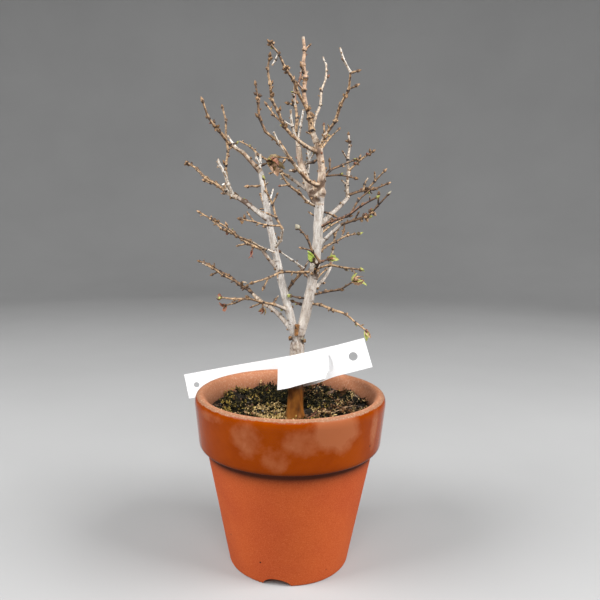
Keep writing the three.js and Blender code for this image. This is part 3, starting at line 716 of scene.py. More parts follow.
def moss_top(x, y):
    """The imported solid's top: cushions, flat round the trunk's foot."""
    away = np.hypot(cushions[:, 0] - x, cushions[:, 1] - y) / CUSHION_RADIUS
    dome = max(0, (cushions[:, 2] * (1 - away * away)).max())
    from_trunk = math.hypot(x - TRUNK_FOOT[0], y - TRUNK_FOOT[1])
    far = smooth_step(from_trunk, FLAT_AROUND_TRUNK, 2 * FLAT_AROUND_TRUNK)
    return (1 - far) * (TRUNK_FOOT[2] - GAP) + far * (SOIL_LEVEL + dome), far


print("cushions", len(cushions), "up to", round(cushions[:, 2].max(), 1), "mm high")

# %% [markdown]
# ### The crumbly bed
# Between the moss the soil shows as dark crumbs, with hollows and an edge that rises to the wall. A
# Displace modifier on a disc would roughen it as well. A function gives the height instead, because
# moss, crumbs and straw are set down on that same height later.

# %% Soil body
MOSS_DEPTH = 0.6
EDGE_RISE = 2.6
EDGE_BAND = (35, 45)
CRUMB_ROUGHNESS = 0.6
COARSE_CRUMB = 1.6
FINE_CRUMB = 0.8
SOIL_RINGS = 64
SOIL_SIDES = 220
HOLLOWS = [
    # centre x and y, radius, depth
    (9.5, -6, 4, 2.6),
    (-29, 16, 4.5, 2.4),
    (-18, 21, 3.5, 2),
    (21, 24, 5, 1.4),
]


def bed_height(x, y):
    """The crumbly bed under the moss."""
    top, far = moss_top(x, y)
    height = top - MOSS_DEPTH * (0.25 + 0.75 * far)
    for centre_x, centre_y, radius, depth in HOLLOWS:
        away = math.hypot(x - centre_x, y - centre_y) / radius
        height -= depth * math.exp(-away * away)
    height += EDGE_RISE * smooth_step(math.hypot(x, y), *EDGE_BAND)
    coarse = noise.noise(Vector((x, y, 3)) / COARSE_CRUMB)
    fine = noise.noise(Vector((x, y, 9)) / FINE_CRUMB)
    return height + CRUMB_ROUGHNESS * (coarse + 0.7 * fine)


def soil_body():
    edge = inner_radius(SOIL_LEVEL) - GAP
    bottom = FLOOR + GAP
    radii = np.linspace(0.3, edge, SOIL_RINGS)
    turns = even_turns(SOIL_SIDES)
    rings = [
        [(r * math.cos(t), r * math.sin(t), bed_height(r * math.cos(t), r * math.sin(t))) for t in turns]
        for r in radii
    ]
    for height in (SOIL_LEVEL - 6, bottom + 2, bottom):
        radius = inner_radius(height) - GAP - (2 if height == bottom else 0)
        rings.append([(radius * math.cos(t), radius * math.sin(t), height) for t in turns])
    points = np.array(rings)[::-1].reshape(-1, 3)
    pile = Pile()
    pile.add(points, capped_faces(len(rings), SOIL_SIDES))
    return pile


def soil_finish():
    soil = Finish("dark_soil", 0.95, 0.2)
    tone = soil.ramp(
        soil.noise(2.2, 6, 0.7),
        (0.32, paint(10, 8, 6)),
        (0.52, paint(26, 20, 13)),
        (0.64, paint(44, 36, 20)),
        (0.78, paint(78, 58, 34)),
    )
    soil.colour(tone)
    soil.bump(soil.noise(0.8, 6, 0.7), 0.5, 0.9)
    return soil.material


soil_piece = soil_body().piece("soil_bed", [soil_finish()])
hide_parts("soil")

# %% [markdown]
# ## The rule that grows the tree
# Every limb and shoot is grown by one rule: it sets off at a lean, bends evenly, and kinks a little at
# each joint, as a real shoot does from bud to bud. Chance is seeded with the shoot's own name, so the
# same table always grows the same tree. A line through the joints is then smoothed and measured.

# %% Growth lines
JOINT_SPACING = 7.5
ZIGZAG = 6
LIMB_ZIGZAG = 1.5


class GrowthLine:
    """A smooth line through its points, measured along its own length."""

    STEPS = 200

    def __init__(self, points):
        self.points = np.array(points, float)
        self.shares = np.linspace(0, 1, self.STEPS + 1)
        gaps = np.linalg.norm(np.diff(self.spots(self.shares), axis=0), axis=1)
        self.reached = np.concatenate([[0], np.cumsum(gaps)])
        self.length = self.reached[-1]

    def spots(self, shares):
        points = self.points
        padded = np.vstack([2 * points[0] - points[1], points, 2 * points[-1] - points[-2]])
        place = np.asarray(shares, float) * (len(points) - 1)
        first = np.minimum(place.astype(int), len(points) - 2)
        weight = (place - first)[:, None]
        before, start, end, after = (padded[first + step] for step in range(4))
        lead, span, trail = (
            np.sqrt(np.linalg.norm(two - one, axis=1))[:, None]
            for one, two in ((before, start), (start, end), (end, after))
        )
        leave = ((start - before) / lead - (end - before) / (lead + span) + (end - start) / span) * span
        arrive = ((end - start) / span - (after - start) / (span + trail) + (after - end) / trail) * span
        square = -3 * start + 3 * end - 2 * leave - arrive
        cube = 2 * start - 2 * end + leave + arrive
        return start + leave * weight + square * weight**2 + cube * weight**3

    def raw(self, along):
        return np.interp(np.asarray(along) * self.length, self.reached, self.shares)

    def many(self, along):
        return self.spots(self.raw(along))

    def at(self, along):
        return self.many([along])[0]

    def headings(self, along):
        raw = self.raw(along)
        step = self.spots(np.minimum(raw + 1e-4, 1)) - self.spots(np.maximum(raw - 1e-4, 0))
        return step / np.linalg.norm(step, axis=1)[:, None]

    def heading(self, along):
        return self.headings([along])[0]


def grow_line(foot, lean, swing, reach, bend, zigzag, chance):
    joints = max(2, int(reach / JOINT_SPACING + 0.5))
    step = reach / joints
    points = [np.array(foot, float)]
    for joint in range(joints):
        kink = (zigzag if joint % 2 else -zigzag) * (0.6 + 0.8 * chance())
        angle = math.radians(lean + bend * (joint + 0.5) / joints + kink)
        away = math.tan(math.radians(swing)) + zigzag * 0.012 * (chance() - 0.5)
        points.append(points[-1] + step * np.array((math.sin(angle), away, math.cos(angle))))
    return GrowthLine(points)


print("growth rule ready: joints every", JOINT_SPACING, "mm")

# %% [markdown]
# ## The limbs and shoots
# The tables say for each limb and shoot what it grows from and how far along, its lean from upright seen
# from the front (right is plus), its swing out of that view (away is plus), its reach, its bend, and its
# width at base and tip. A limb also has how pale its bark is at base and tip, from 0 to 1. A shoot has what
# it ends in and the tone of its bark.

# %% Limb table
def cells_of(line):
    """The words of a table's line; a word that ends in a digit becomes a number."""
    return [float(word) if word[-1].isdigit() else word for word in line.split()]


def rows_of(table):
    return [cells_of(line) for line in table.strip().splitlines()]


# name, grown on, how far along, lean, swing, reach, bend, base, tip, pale at base and tip
LIMBS = rows_of("""
trunk ground 0 1 0 47.5 1 8.6 7.8 0.65 0.65
right_stem trunk 0.95 17 0 81 -19 5.6 4.8 0.7 1
left_stem trunk 0.95 -16.5 0 95 8 4.8 2.9 1 1
right_leader right_stem 1 15 0 29 -36 4.4 3.2 0.4 0.2
left_leader right_stem 0.95 -34 4 33 27 4.4 2.8 0.5 0.3
bough_low_left left_stem 0.05 -36 16 21 -18 2.9 2.2 0.9 0.6
bough_low_front left_stem 0.19 -58 -28 8.5 -8 2 1.6 0.8 0.5
bough_left left_stem 0.43 -40 -4 15.5 2 2.1 1.7 0.8 0.3
bough_mid_left left_stem 0.73 -54 14 21 -2 3 2.3 1 0.5
bough_left_top left_stem 1 -42 -14 13.5 -4 2.6 2 0.25 0.1
bough_right_high right_stem 0.8 47 18 23 -2 2.8 2.1 0.9 0.75
bough_right_mid right_stem 0.64 32 -8 19.5 22 2.3 1.7 0.95 0.8
bough_right_low right_stem 0.35 52 16 19 -28 2.2 1.7 0.9 0.8
bough_crown_left right_leader 0.8 -66 -24 16.5 10 2.2 1.7 0.1 0.05
bough_crown_front right_leader 0.2 -80 -40 13 40 2.3 1.9 0.05 0
bough_crown_low left_leader 0.22 -54 24 15 -2 1.9 1.6 0.6 0.5
bough_back_left left_stem 0.6 -10 62 11 0 2.2 1.7 0.8 0.5
bough_back_right right_stem 0.55 12 62 11 0 2.4 1.8 0.8 0.5
bough_back_low right_stem 0.2 16 60 11 0 2.2 1.7 0.8 0.5
bough_back_crown right_leader 0.45 4 60 10 0 2.2 1.7 0.6 0.4
""")
print("limbs in the table", len(LIMBS))

# %% [markdown]
# ### The table of twigs
# About a hundred fine shoots stand in small groups, each from one place on a limb. They could be drawn
# by hand as curves, but lengths and angles in a table are easier to correct. A line at the margin names
# a group, what it grows on and how far along. Its shoots follow, and a dash means the group's own foot.

# %% Shoot table
# a shoot's line: name, grown on, how far along, lean, swing, reach, bend, base, tip, end, tone
SHOOT_TABLE = """
twigs_low_left bough_low_left 1
  stem - 0 -51 24 49 -19 2.1 1 bud brown
  upper stem 0.5 -61 10 21 0 1.3 0.9 cut tan
  hook stem 0.42 40 -30 4.5 60 1.1 0.8 cut tan
twigs_low_front bough_low_front 1
  stem - 0 -68 -32 28.5 -18 1.5 0.9 rust tan
  droop stem 0.6 -108 -10 9.5 -6 1 0.8 rust tan
  back stem 0.05 36 40 5 0 1.1 0.8 cut brown
  dead stem 0.25 175 -15 2.5 0 0.9 0.8 rust brown
twigs_left bough_left 1
  stem - 0 -62 16 41 6 1.6 0.9 bud tan
  inward stem 0.03 102 -28 9 4 1.1 0.8 cut pale
  red stem 0.12 -165 -20 2.5 0 0.9 0.8 red_leaf red
twigs_left_upper left_stem 0.545
  stem - 0 -70 -28 35 20 1.3 0.8 cut fading
twigs_left_front left_stem 0.56
  stem - 0 56 -46 12 -70 1.4 1.2 none pale
  rise stem 1 -24 4 28 4 1.2 0.8 bud tan
  across rise 0.08 -88 -4 21 16 1 0.8 bud tan
twigs_mid_left bough_mid_left 1
  stem - 0 -62 20 36 15 2.2 1 bud tan
  pale stem 0.08 -12 -14 20 -20 1.9 1.3 cut pale
  pale_side pale 0.62 -26 20 9 -4 1.2 1 cut pale
  tall pale 0.45 4 2 39 -14 1.4 0.9 bud tan
  stub stem 0.14 -33 -30 6 0 2 1.7 cut pale
  side stem 0.42 -78 24 6 5 1 0.8 bud tan
twigs_left_top bough_left_top 1
  stem - 0 -58 -20 31.5 36 1.8 1 bud tan
  parallel stem 0.06 -38 16 10.5 -2 1.2 0.9 cut pale
twigs_left_tip left_stem 1
  stem - 0 2 28 10 -14 1.6 1.2 cut pale
  inner stem 0.45 -34 -4 7 24 1.1 0.9 cut pale
  dead stem 0.3 62 -12 4.5 0 1 0.9 dead brown
twigs_left_spur left_stem 0.93
  stem - 0 -95 -10 7.5 -6 1.1 0.8 bud tan
twigs_right_high bough_right_high 1
  stem - 0 2 16 36 2 1.9 1 bud grey
  side stem 0.42 50 4 17 -2 1.3 0.9 bud tan
  right stem 0.04 78 8 23.5 -6 1.6 0.9 bud brown
  right_up right 0.4 14 14 7.5 6 1 0.8 cut tan
  right_fork right 0.48 54 -14 13 -24 1.1 0.8 bud tan
twigs_right_mid bough_right_mid 1
  stem - 0 84 -8 30 -56 1.5 0.9 bud brown
  down stem 0.06 188 -16 7 8 0.9 0.8 cut brown
twigs_right_red right_stem 0.79
  stem - 0 71 -34 33 -22 1.6 0.9 bud red
  brown stem 0.56 30 6 16 14 1.1 0.8 bud brown
twigs_right_shoot right_stem 0.6
  stem - 0 50 34 29 28 1.4 0.9 green tan
  side stem 0.45 14 10 7 0 0.9 0.8 bud tan
twigs_front right_stem 0.47
  stem - 0 24 -52 9 -12 1.6 1.4 none brown
  left stem 1 -28 -8 21.5 -8 1.4 1 ball brown
  green stem 0.72 -46 -16 2.5 0 1 0.9 lime brown
  red stem 0.85 62 0 5 0 1 0.8 split red
twigs_right_arch right_stem 0.51
  stem - 0 72 -26 24.5 34 1.4 0.9 green tan
twigs_right_low bough_right_low 1
  stem - 0 8 4 8.5 -8 1.5 1 bud grey
twigs_right_leafy right_stem 0.33
  stem - 0 84 -20 25 -26 1.4 0.9 leaf brown
twigs_right_droop right_stem 0.275
  stem - 0 92 -22 34.5 42 1.5 0.9 hang tan
twigs_cross right_stem 0.5
  stem - 0 -80 -32 33.5 -36 1.5 0.9 bud tan
twigs_cross_back left_stem 0.29
  stem - 0 39 28 22 -2 1.5 1 cut brown
  thin stem 0.8 -44 -4 16 -24 1 0.8 bud pale
twigs_inner_low right_stem 0.315
  stem - 0 -82 -14 9.5 0 1.2 0.9 green brown
twigs_inner_lower right_stem 0.265
  stem - 0 -78 18 7.5 0 1.2 0.9 bud red
twigs_apex right_leader 1
  stem - 0 -15 2 21 0 3 2.3 none fading
  leader stem 1 0 3 35.2 -3 2.2 1.5 cut pink
  left_arm stem 0.96 -26 -19 34.5 -14 1.7 0.9 bud tan
  left_fine left_arm 0.82 -152 10 6.5 0 0.9 0.8 cut pale
  right_arm stem 0.27 14 24 41 -4 1.5 0.9 none grey
  right_tip right_arm 1 -24 8 4.5 0 0.9 0.8 cut pale
  stub leader 0.3 10 24 7.5 0 1.2 1 cut pale
  stub_left leader 0.45 -60 -25 3.5 50 1 0.8 bud brown
twigs_top_right right_leader 0.87
  stem - 0 35 -22 40 -24 1.8 1 none fading
  white stem 1 -29 -10 12.5 0 1.1 0.9 cut pale
  fork stem 0.98 62 16 3.5 0 0.9 0.8 bud tan
twigs_crown_left bough_crown_left 1
  stem - 0 -42 -10 42 50 1.7 0.9 bud tan
  low stem 0.2 -38 12 12 -10 1.1 0.8 bud tan
twigs_crown_front bough_crown_front 1
  stem - 0 -33 -20 26 -18 1.8 1.4 none tan
  tip stem 1 -20 -6 23 20 1.4 0.9 bud brown
  stub stem 0.06 -96 -10 5 0 1.3 1.1 cut brown
  pale stem 0.42 -32 -26 12.5 0 1.2 0.9 cut pale
twigs_crown_low bough_crown_low 1
  stem - 0 -49 24 36 -4 1.5 0.9 cut tan
  pink stem 0.2 28 14 5 0 1.3 1.1 bud pink
twigs_crown_brown right_stem 0.93
  stem - 0 -60 -24 27 18 1.6 1.1 cut fading
twigs_crown_centre left_leader 1
  stem - 0 -4 18 24.5 4 1.9 1.4 none tan
  top stem 1 8 16 21 10 1.3 0.9 cut red
  left_white stem 0.12 -16 -14 16.5 4 1.4 1.1 cut pale
  right_white stem 0.08 20 -10 17.5 -22 1.4 1.1 cut pale
  stub stem 0.95 -6 -24 9.5 8 1.1 0.9 cut pale
  side stem 0.97 -80 0 3 0 1 0.9 bud tan
twigs_crown_inner left_leader 0.32
  stem - 0 -2 26 22 2 1.3 1 cut pale
  pair stem 0.35 8 -2 14.5 2 1.1 0.9 cut pale
  low stem 0.3 -14 8 8 0 1 0.9 cut pale
twigs_crown_right right_leader 0.3
  stem - 0 37 28 22.5 42 1.5 0.9 bud brown
  level stem 0.14 92 -30 15.5 8 1 0.8 bud brown
twigs_leader_stub right_leader 0.72
  stem - 0 -112 14 9.5 0 1.3 1 cut brown
twigs_right_spur right_stem 0.9
  stem - 0 98 -18 7.5 8 1.1 0.8 bud brown
twigs_back_left bough_back_left 1
  stem - 0 -14 50 18 -20 1.6 0.9 bud tan
  left stem 0.3 -62 36 15 6 1.2 0.8 bud tan
  up stem 0.25 16 34 16 -10 1.2 0.8 cut pale
twigs_back_right bough_back_right 1
  stem - 0 22 48 19 8 1.7 0.9 bud fading
  right stem 0.3 60 36 15 -8 1.2 0.8 bud tan
  up stem 0.4 -16 30 17 10 1.2 0.8 bud tan
twigs_back_low bough_back_low 1
  stem - 0 30 50 15 16 1.6 0.9 bud tan
  left stem 0.3 -40 40 13 -8 1.2 0.8 bud brown
twigs_back_crown bough_back_crown 1
  stem - 0 6 44 21 0 1.6 0.9 bud fading
  right stem 0.25 44 34 16 -10 1.2 0.8 bud tan
  left stem 0.35 -34 38 16 10 1.2 0.8 cut tan
"""


def read_masses(table):
    """Each group of twigs: its name, what it grows on, how far along, and its shoots."""
    masses = []
    for line in table.strip().splitlines():
        if line.startswith(" "):
            masses[-1][-1].append(cells_of(line))
        else:
            masses.append((*cells_of(line), []))
    return masses


MASSES = read_masses(SHOOT_TABLE)
print("groups of twigs", len(MASSES), "shoots", sum(len(mass[-1]) for mass in MASSES))

# %% [markdown]
# ### Growing from the tables
# A shoot can only start once its carrier has grown, so the rows are taken in order and each new line
# starts on an earlier one. Curve objects could hold the lines. Plain ones are kept, because bark, twigs
# and buds all have to ask a line for a place, a heading and a width.

# %% Grow the lines
TRUNK_START = np.array((2.7, -11, 86))


class Limb:
    """A grown limb or shoot: its line, its widths and what it belongs to."""

    def __init__(self, line, base, tip, owner, end="", tone="", chance=None, reach=0):
        self.line = line
        self.base = base
        self.tip = tip
        self.owner = owner
        self.end = end
        self.tone = tone
        self.chance = chance
        self.reach = reach

    def radius(self, along):
        return (self.base + (self.tip - self.base) * along) / 2


def grow_limbs():
    limbs = {}
    for name, on, at, lean, swing, reach, bend, base, tip, *pale in LIMBS:
        foot = TRUNK_START if on == "ground" else limbs[on].line.at(at)
        line = grow_line(foot, lean, swing, reach, bend, LIMB_ZIGZAG, seeded_from(name))
        limbs[name] = Limb(line, base, tip, name)
        limbs[name].pale = pale
    return limbs


def grow_shoots(limbs):
    shoots = {}
    for mass, on, at, rows in MASSES:
        for name, source, along, lean, swing, reach, bend, base, tip, end, tone in rows:
            foot = limbs[on].line.at(at) if source == "-" else shoots[mass, source].line.at(along)
            chance = seeded_from(mass + name)
            line = grow_line(foot, lean, swing, reach, bend, ZIGZAG, chance)
            shoots[mass, name] = Limb(line, base, tip, mass, end, tone, chance, reach)
    return shoots


limbs = grow_limbs()
shoots = grow_shoots(limbs)
print("limbs", len(limbs), "shoots", len(shoots))

# %% [markdown]
# ## The trunk, stems and boughs
# Limbs are round, they taper, and they wind a little. A curve with a bevel would follow the line too, but
# its width can only be set at its points. So a tube is built ring by ring: each ring stands across the
# line, has its own radius, and takes its turn from the ring before, so that the tube doesn't twist.

# %% Tubes along a line
def tube(line, radius_at, sides, ring_gap, wrinkle=0.0):
    """Points and faces of a closed tube, and how far along each face lies."""
    rings = max(2, round(line.length / ring_gap))
    shares = np.linspace(0, 1, rings + 1)
    centres = line.many(shares)
    headings = line.headings(shares)
    side = np.cross(headings[0], (0, 1, 0.2))
    sides_at = []
    for heading in headings:
        side = side - heading * (side @ heading)
        side = side / np.linalg.norm(side)
        sides_at.append(side)
    sides_at = np.array(sides_at)[:, None]
    other = np.cross(headings[:, None], sides_at)
    turns = even_turns(sides)[None, :, None]
    radius = np.array([radius_at(share) for share in shares])[:, None, None]
    if wrinkle:
        far = shares[:, None, None]
        ripple = np.sin(3 * turns + 5 * far) + np.sin(2 * turns - 9 * far)
        radius = radius * (1 + wrinkle * ripple)
    points = centres[:, None] + radius * (sides_at * np.cos(turns) + other * np.sin(turns))
    along = np.repeat((shares[1:] + shares[:-1]) / 2, sides)
    return points.reshape(-1, 3), capped_faces(rings + 1, sides), np.concatenate([along, [0, 1]])


sample_points, _, _ = tube(limbs["trunk"].line, limbs["trunk"].radius, 16, 1)
print("a trunk tube has", len(sample_points), "points")

# %% [markdown]
# ### Swellings of a limb
# No limb is an even cone. It swells where a bough leaves it, at old knuckles and at its own foot, and the
# trunk flares into its roots and closes over its fork. This could be modelled by hand on the mesh. Added
# to the radius, it is one formula that all limbs share.

# %% Swellings of a limb
ROOT_FLARE = 1.3
ROOT_FLARE_HEIGHT = 5
BARK_GROWTH = 0.06
FORK_SHARE = 0.9
COLLAR_SWELL = 0.05
COLLAR_LENGTH = 2.2
OLD_FOOT_SWELL = 0.06
FOOT_SWELL = 0.22
KNUCKLES = [
    # limb, share along it, swelling, spread
    ("right_stem", 1.0, 0.34, 2.6),
    ("right_stem", 0.49, 0.14, 1.6),
    ("left_leader", 0.12, 0.22, 3),
]
OLD_WOOD = {"trunk", "right_stem", "left_stem"}


def places_of_collars():
    """Where boughs and masses leave each limb, as shares of its length."""
    places = {name: [] for name in limbs}
    for row in LIMBS[1:]:
        places[row[1]].append(row[2])
    for mass in MASSES:
        places[mass[1]].append(mass[2])
    return places


def limb_radius(name, collars):
    limb = limbs[name]
    length = limb.line.length
    swells = [(at, COLLAR_SWELL, COLLAR_LENGTH) for at in collars if at < 0.99 and name != "trunk"]
    swells += [(at, swell, spread) for where, at, swell, spread in KNUCKLES if where == name]
    foot_swell = OLD_FOOT_SWELL if name in OLD_WOOD else FOOT_SWELL

    def radius(share):
        grown = 1 + foot_swell * math.exp(-share * length / limb.base)
        for at, swell, spread in swells:
            grown += swell * math.exp(-(((share - at) * length / spread) ** 2))
        flare = ROOT_FLARE * math.exp(-share * length / ROOT_FLARE_HEIGHT) if name == "trunk" else 0
        past = max(0, share - FORK_SHARE) / (1 - FORK_SHARE) if name == "trunk" else 0
        return (limb.radius(share) * grown + BARK_GROWTH + flare) * math.sqrt(1.02 - past * past)

    return radius


collars = places_of_collars()
print("boughs and groups that leave the right stem", len(collars["right_stem"]))

# %% [markdown]
# ### One skin over all limbs
# Real bark runs on over a fork without a seam, with a lump of old wood at the knuckle. Tubes joined by
# Booleans would meet in creases. So tubes with swollen feet, and a few round burls, go into one mesh
# as they are. A voxel remesh melts what overlaps, and smoothing fills the crotches.

# %% Bark skin
BARK_VOXEL = 0.3
BARK_SMOOTHING = 5
BARK_SIDES = 20
BARK_RING_GAP = 0.8
BURLS = [
    # limb, share along it, shift in millimetres, radius
    ("right_stem", 1.0, (-2.0, 0.3, 2.6), 3.2),
    ("right_stem", 1.0, (0.9, -0.3, 2.2), 3.2),
    ("right_stem", 1.0, (-0.7, 0, 0.2), 3.2),
]


def burl(name, share, shift, radius):
    """A round lump of wood at a fork."""
    turns = np.linspace(0.05, math.pi - 0.05, 12)
    arc = np.stack([radius * np.sin(turns), -radius * np.cos(turns)], -1)
    points, faces = turned(arc, 16)
    return points + limbs[name].line.at(share) + shift, faces


def bark_skin():
    pile = Pile()
    for row in BURLS:
        pile.add(*burl(*row))
    for name, limb in limbs.items():
        points, faces, _ = tube(limb.line, limb_radius(name, collars[name]), BARK_SIDES, BARK_RING_GAP)
        pile.add(points, faces)
    helper = plain_object("bark_blank", np.concatenate(pile.points), pile.faces)
    melt = helper.modifiers.new("melt", "REMESH")
    melt.mode = "VOXEL"
    melt.voxel_size = BARK_VOXEL * MM
    soften = helper.modifiers.new("soften", "SMOOTH")
    soften.factor = 0.5
    soften.iterations = BARK_SMOOTHING
    return with_modifiers(helper)


bark = bark_skin()
print("bark skin has", len(bark.polygons), "faces")

# %% [markdown]
# ### Ridges, pores and roots
# Smooth bark still has relief: low rings where bud scales sat, fine streaks along the limb, small warts,
# and ridges that run down into the roots. It could be sculpted. A function of the place does it evenly
# on every limb, and tells how strongly each point is to be marked brown.

# %% Bark relief
RIDGE_SPACING = 5.5
RIDGE_HEIGHT = 0.09
STREAK_HEIGHT = 0.02
WART_HEIGHT = 0.16
ROOT_RIDGES = 5
ROOT_RIDGE_HEIGHT = 0.55
ROOT_RIDGE_FADE = 5
ROOT_RIDGE_TOP = 14


def limb_lookup():
    """A search tree over points along every limb, with the limb and distance at each point."""
    spots = []
    for name, limb in limbs.items():
        shares = np.linspace(0, 1, max(8, round(limb.line.length)))
        for share, spot in zip(shares, limb.line.many(shares)):
            spots.append((spot, name, share * limb.line.length))
    return search_tree([spot for spot, _, _ in spots]), spots


def bark_relief(point, along, from_foot):
    """How far the bark stands out at a point, and how strongly an old bud ring marks it."""
    at = Vector(point)
    wavy = along + 1.2 * noise.noise(at / 4)
    ring = math.exp(-((((wavy / RIDGE_SPACING) % 1) - 0.5) * RIDGE_SPACING / 0.45) ** 2)
    ring *= max(0, noise.noise(at / 6 + Vector((7, 0, 0))) + 0.2)
    streak = noise.noise(Vector((at.x / 0.9, at.y / 0.9, at.z / 7)))
    wart = max(0, noise.noise(at / 1.1 + Vector((0, 11, 0))) - 0.42) * 2
    root = 0
    if from_foot < ROOT_RIDGE_TOP:
        turn = math.atan2(at.y - TRUNK_FOOT[1], at.x - TRUNK_FOOT[0])
        fade = math.exp(-from_foot / ROOT_RIDGE_FADE)
        root = ROOT_RIDGE_HEIGHT * fade * math.sin(ROOT_RIDGES * turn + 0.7)
    height = RIDGE_HEIGHT * ring + STREAK_HEIGHT * streak + WART_HEIGHT * wart + root
    return height, min(1, ring * 1.2 + wart * 1.4)


bark_tree, bark_spots = limb_lookup()
print("bark is looked up at", len(bark_spots), "places along the limbs")

# %% [markdown]
# ### Dark bark and the fork's seams
# Round the old forks the bark is rough and brown, its underside is darkened as painted shade, and where
# two limbs press together it folds into a seam, darkened with painted shade. Painting it would need an
# unwrapped skin. Instead every point learns how near it lies to a listed place or line, and points in a
# seam are also sunk.

# %% Dark bark and seams
# limb, how far along it, reach, strength
DARK_SPOTS = rows_of("""
right_stem 0.985 3 0.34
right_stem 0.49 2 0.6
trunk 0.97 3 0.5
trunk 0.84 7 0.27
left_leader 0.2 3 0.3
right_leader 0.25 3 0.4
right_leader 0.85 3 0.5
left_stem 0.73 1.5 0.5
left_stem 0.42 1.5 0.5
bough_mid_left 0.76 4.5 0.8
""")
# seams where limbs press together in the fork, sunk and darkened with painted shade
FORK_SEAMS = [
    # places from left to right and up, across the front of the old fork
    [(9.6, 212.6), (11.6, 213.6), (15.4, 217.2), (18.2, 221.4), (18.8, 225)],
    [(10.2, 210.8), (11.8, 209.5), (13.6, 209.2)],
]
SEAM_WIDTH = 1.0
SEAM_DEPTH = 0.5
# painted shade on bark above the trunk that looks down
UNDERSIDE_DARK = 1.4
UNDERSIDE_START = 0.14


def dark_bark(points):
    """Rough brown bark round the old forks, broken up by noise."""
    rough = np.array([noise.noise(Vector(point) / 1.3) for point in points])
    dark = np.zeros(len(points))
    for name, share, reach, strength in DARK_SPOTS:
        limb = limbs[name]
        away = np.linalg.norm(points - limb.line.at(share), axis=1) - limb.radius(share)
        away = np.maximum(away, 0) / reach
        dark = np.maximum(dark, strength * (away < 1.6) * (1.2 - away + 0.9 * rough))
    return dark


def fork_seam(points):
    """How deep in a seam of the fork each point lies, for its painted shade; the seams are on the front, in
    x and z.
    """
    along = np.linspace(0, 1, 40)
    seams = [GrowthLine([(x, 0, z) for x, z in seam]) for seam in FORK_SEAMS]
    line = np.concatenate([seam.many(along) for seam in seams])
    flat = points * (1, 0, 1)
    away = np.linalg.norm(flat[:, None] - line[None], axis=2).min(axis=1)
    in_front = points[:, 1] < limbs["right_stem"].line.at(1)[1]
    return in_front * np.exp(-((away / SEAM_WIDTH) ** 2))


def raise_bark(mesh):
    points = points_of(mesh)
    normals = np.zeros(len(points) * 3)
    mesh.vertices.foreach_get("normal", normals)
    normals = normals.reshape(-1, 3)
    heights, marks, ages = [], [], []
    for point in points:
        _, name, along = bark_spots[bark_tree.find(point)[1]]
        limb = limbs[name]
        height, mark = bark_relief(point, along, point[2] - TRUNK_FOOT[2])
        heights.append(height * min(1, limb.base / 4))
        marks.append(mark)
        ages.append(np.interp(along / limb.line.length, (0, 1), limb.pale))
    seam = fork_seam(points)
    above_trunk = points[:, 2] > limbs["trunk"].line.at(1)[2]
    # painted shade: bark that looks down is marked darker
    underside_shade = np.clip(-UNDERSIDE_DARK * normals[:, 2] - UNDERSIDE_START, 0, 1) * above_trunk
    marks = np.minimum(1, np.array(marks) + dark_bark(points) + seam + underside_shade)
    points += normals * (np.array(heights) - SEAM_DEPTH * seam)[:, None]
    mesh.vertices.foreach_set("co", (points * MM).ravel())
    set_attribute(mesh, "mark", marks)
    set_attribute(mesh, "age", ages)


raise_bark(bark)
print("right stem ends at", limbs["right_stem"].line.at(1).round(1))

# %% [markdown]
# ## Bark
# Old bark here is smooth and pale grey, streaked along the limb and peppered with brown breathing pores.
# Younger boughs are tan. Below the label the trunk is wet and shows amber brown. Height and age are
# places on the tree, so the finish reads height from its own coordinates and age from the mesh.

# %% Bark finish
WET_TOP = 0.115
WET_BOTTOM = 0.104


def bark_finish():
    skin = Finish("pale_bark", 0.8)
    streaks = skin.noise(1.6, 6, 0.7, skin.stretched(1, 1, 0.26))
    old = skin.ramp(
        streaks,
        (0.28, paint(122, 110, 98)),
        (0.42, paint(163, 155, 146)),
        (0.55, paint(190, 184, 177)),
        (0.72, paint(219, 215, 209)),
    )
    young = skin.ramp(
        skin.noise(2.4, 5, 0.7, skin.stretched(1, 1, 0.5)),
        (0.34, paint(84, 58, 37)),
        (0.46, paint(140, 106, 76)),
        (0.56, paint(186, 162, 134)),
        (0.68, paint(216, 202, 184)),
    )
    bark_tone = skin.mix(skin.attribute("age"), young, old)
    pores = skin.ramp(skin.noise(0.75, 3, 0.5), (0.6, 0.0), (0.68, 0.6))
    bark_tone = skin.mix(pores, bark_tone, paint(132, 100, 76))
    # marks: bud rings, warts and rough dark bark, plus painted shade of the fork's seams and of undersides
    marks = skin.ramp(skin.attribute("mark"), (0.3, 0.0), (0.9, 0.9))
    bark_tone = skin.mix(marks, bark_tone, paint(76, 52, 34))

    height = skin.node("SeparateXYZ", {"Vector": skin.place}).outputs["Z"]
    rise = skin.math("ADD", height, skin.math("MULTIPLY", skin.noise(4, 4), 0.012))
    wet = skin.math("DIVIDE", skin.math("SUBTRACT", rise, WET_BOTTOM + 0.006), WET_TOP - WET_BOTTOM)
    dry = skin.ramp(wet, (0.1, 0.0), (0.95, 1.0))
    damp = skin.ramp(
        skin.noise(3.2, 5, 0.6, skin.stretched(1, 1, 0.4)),
        (0.28, paint(66, 36, 12)),
        (0.48, paint(106, 61, 20)),
        (0.66, paint(134, 82, 30)),
        (0.82, paint(152, 108, 62)),
    )
    skin.colour(skin.mix(dry, damp, bark_tone))
    skin.gloss(skin.ramp(dry, (0.0, 0.34), (1.0, 0.82)))
    skin.bump(skin.noise(0.5, 4, 0.6), 0.1, 0.5)
    return skin.material


bark_piece = dressed("bark", bark, [bark_finish()])
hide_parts(*[row[0] for row in LIMBS])

# %% [markdown]
# ## Twigs
# Each shoot is a thin round tube with a swelling at every joint, where a leaf once stood. Twigs are tan
# to reddish brown, and dead or cut ones bleach to a pale grey. Such colours have a place on the twig, so
# each ring of faces is dealt one of a few plain tones, and every tone is a finish of its own.

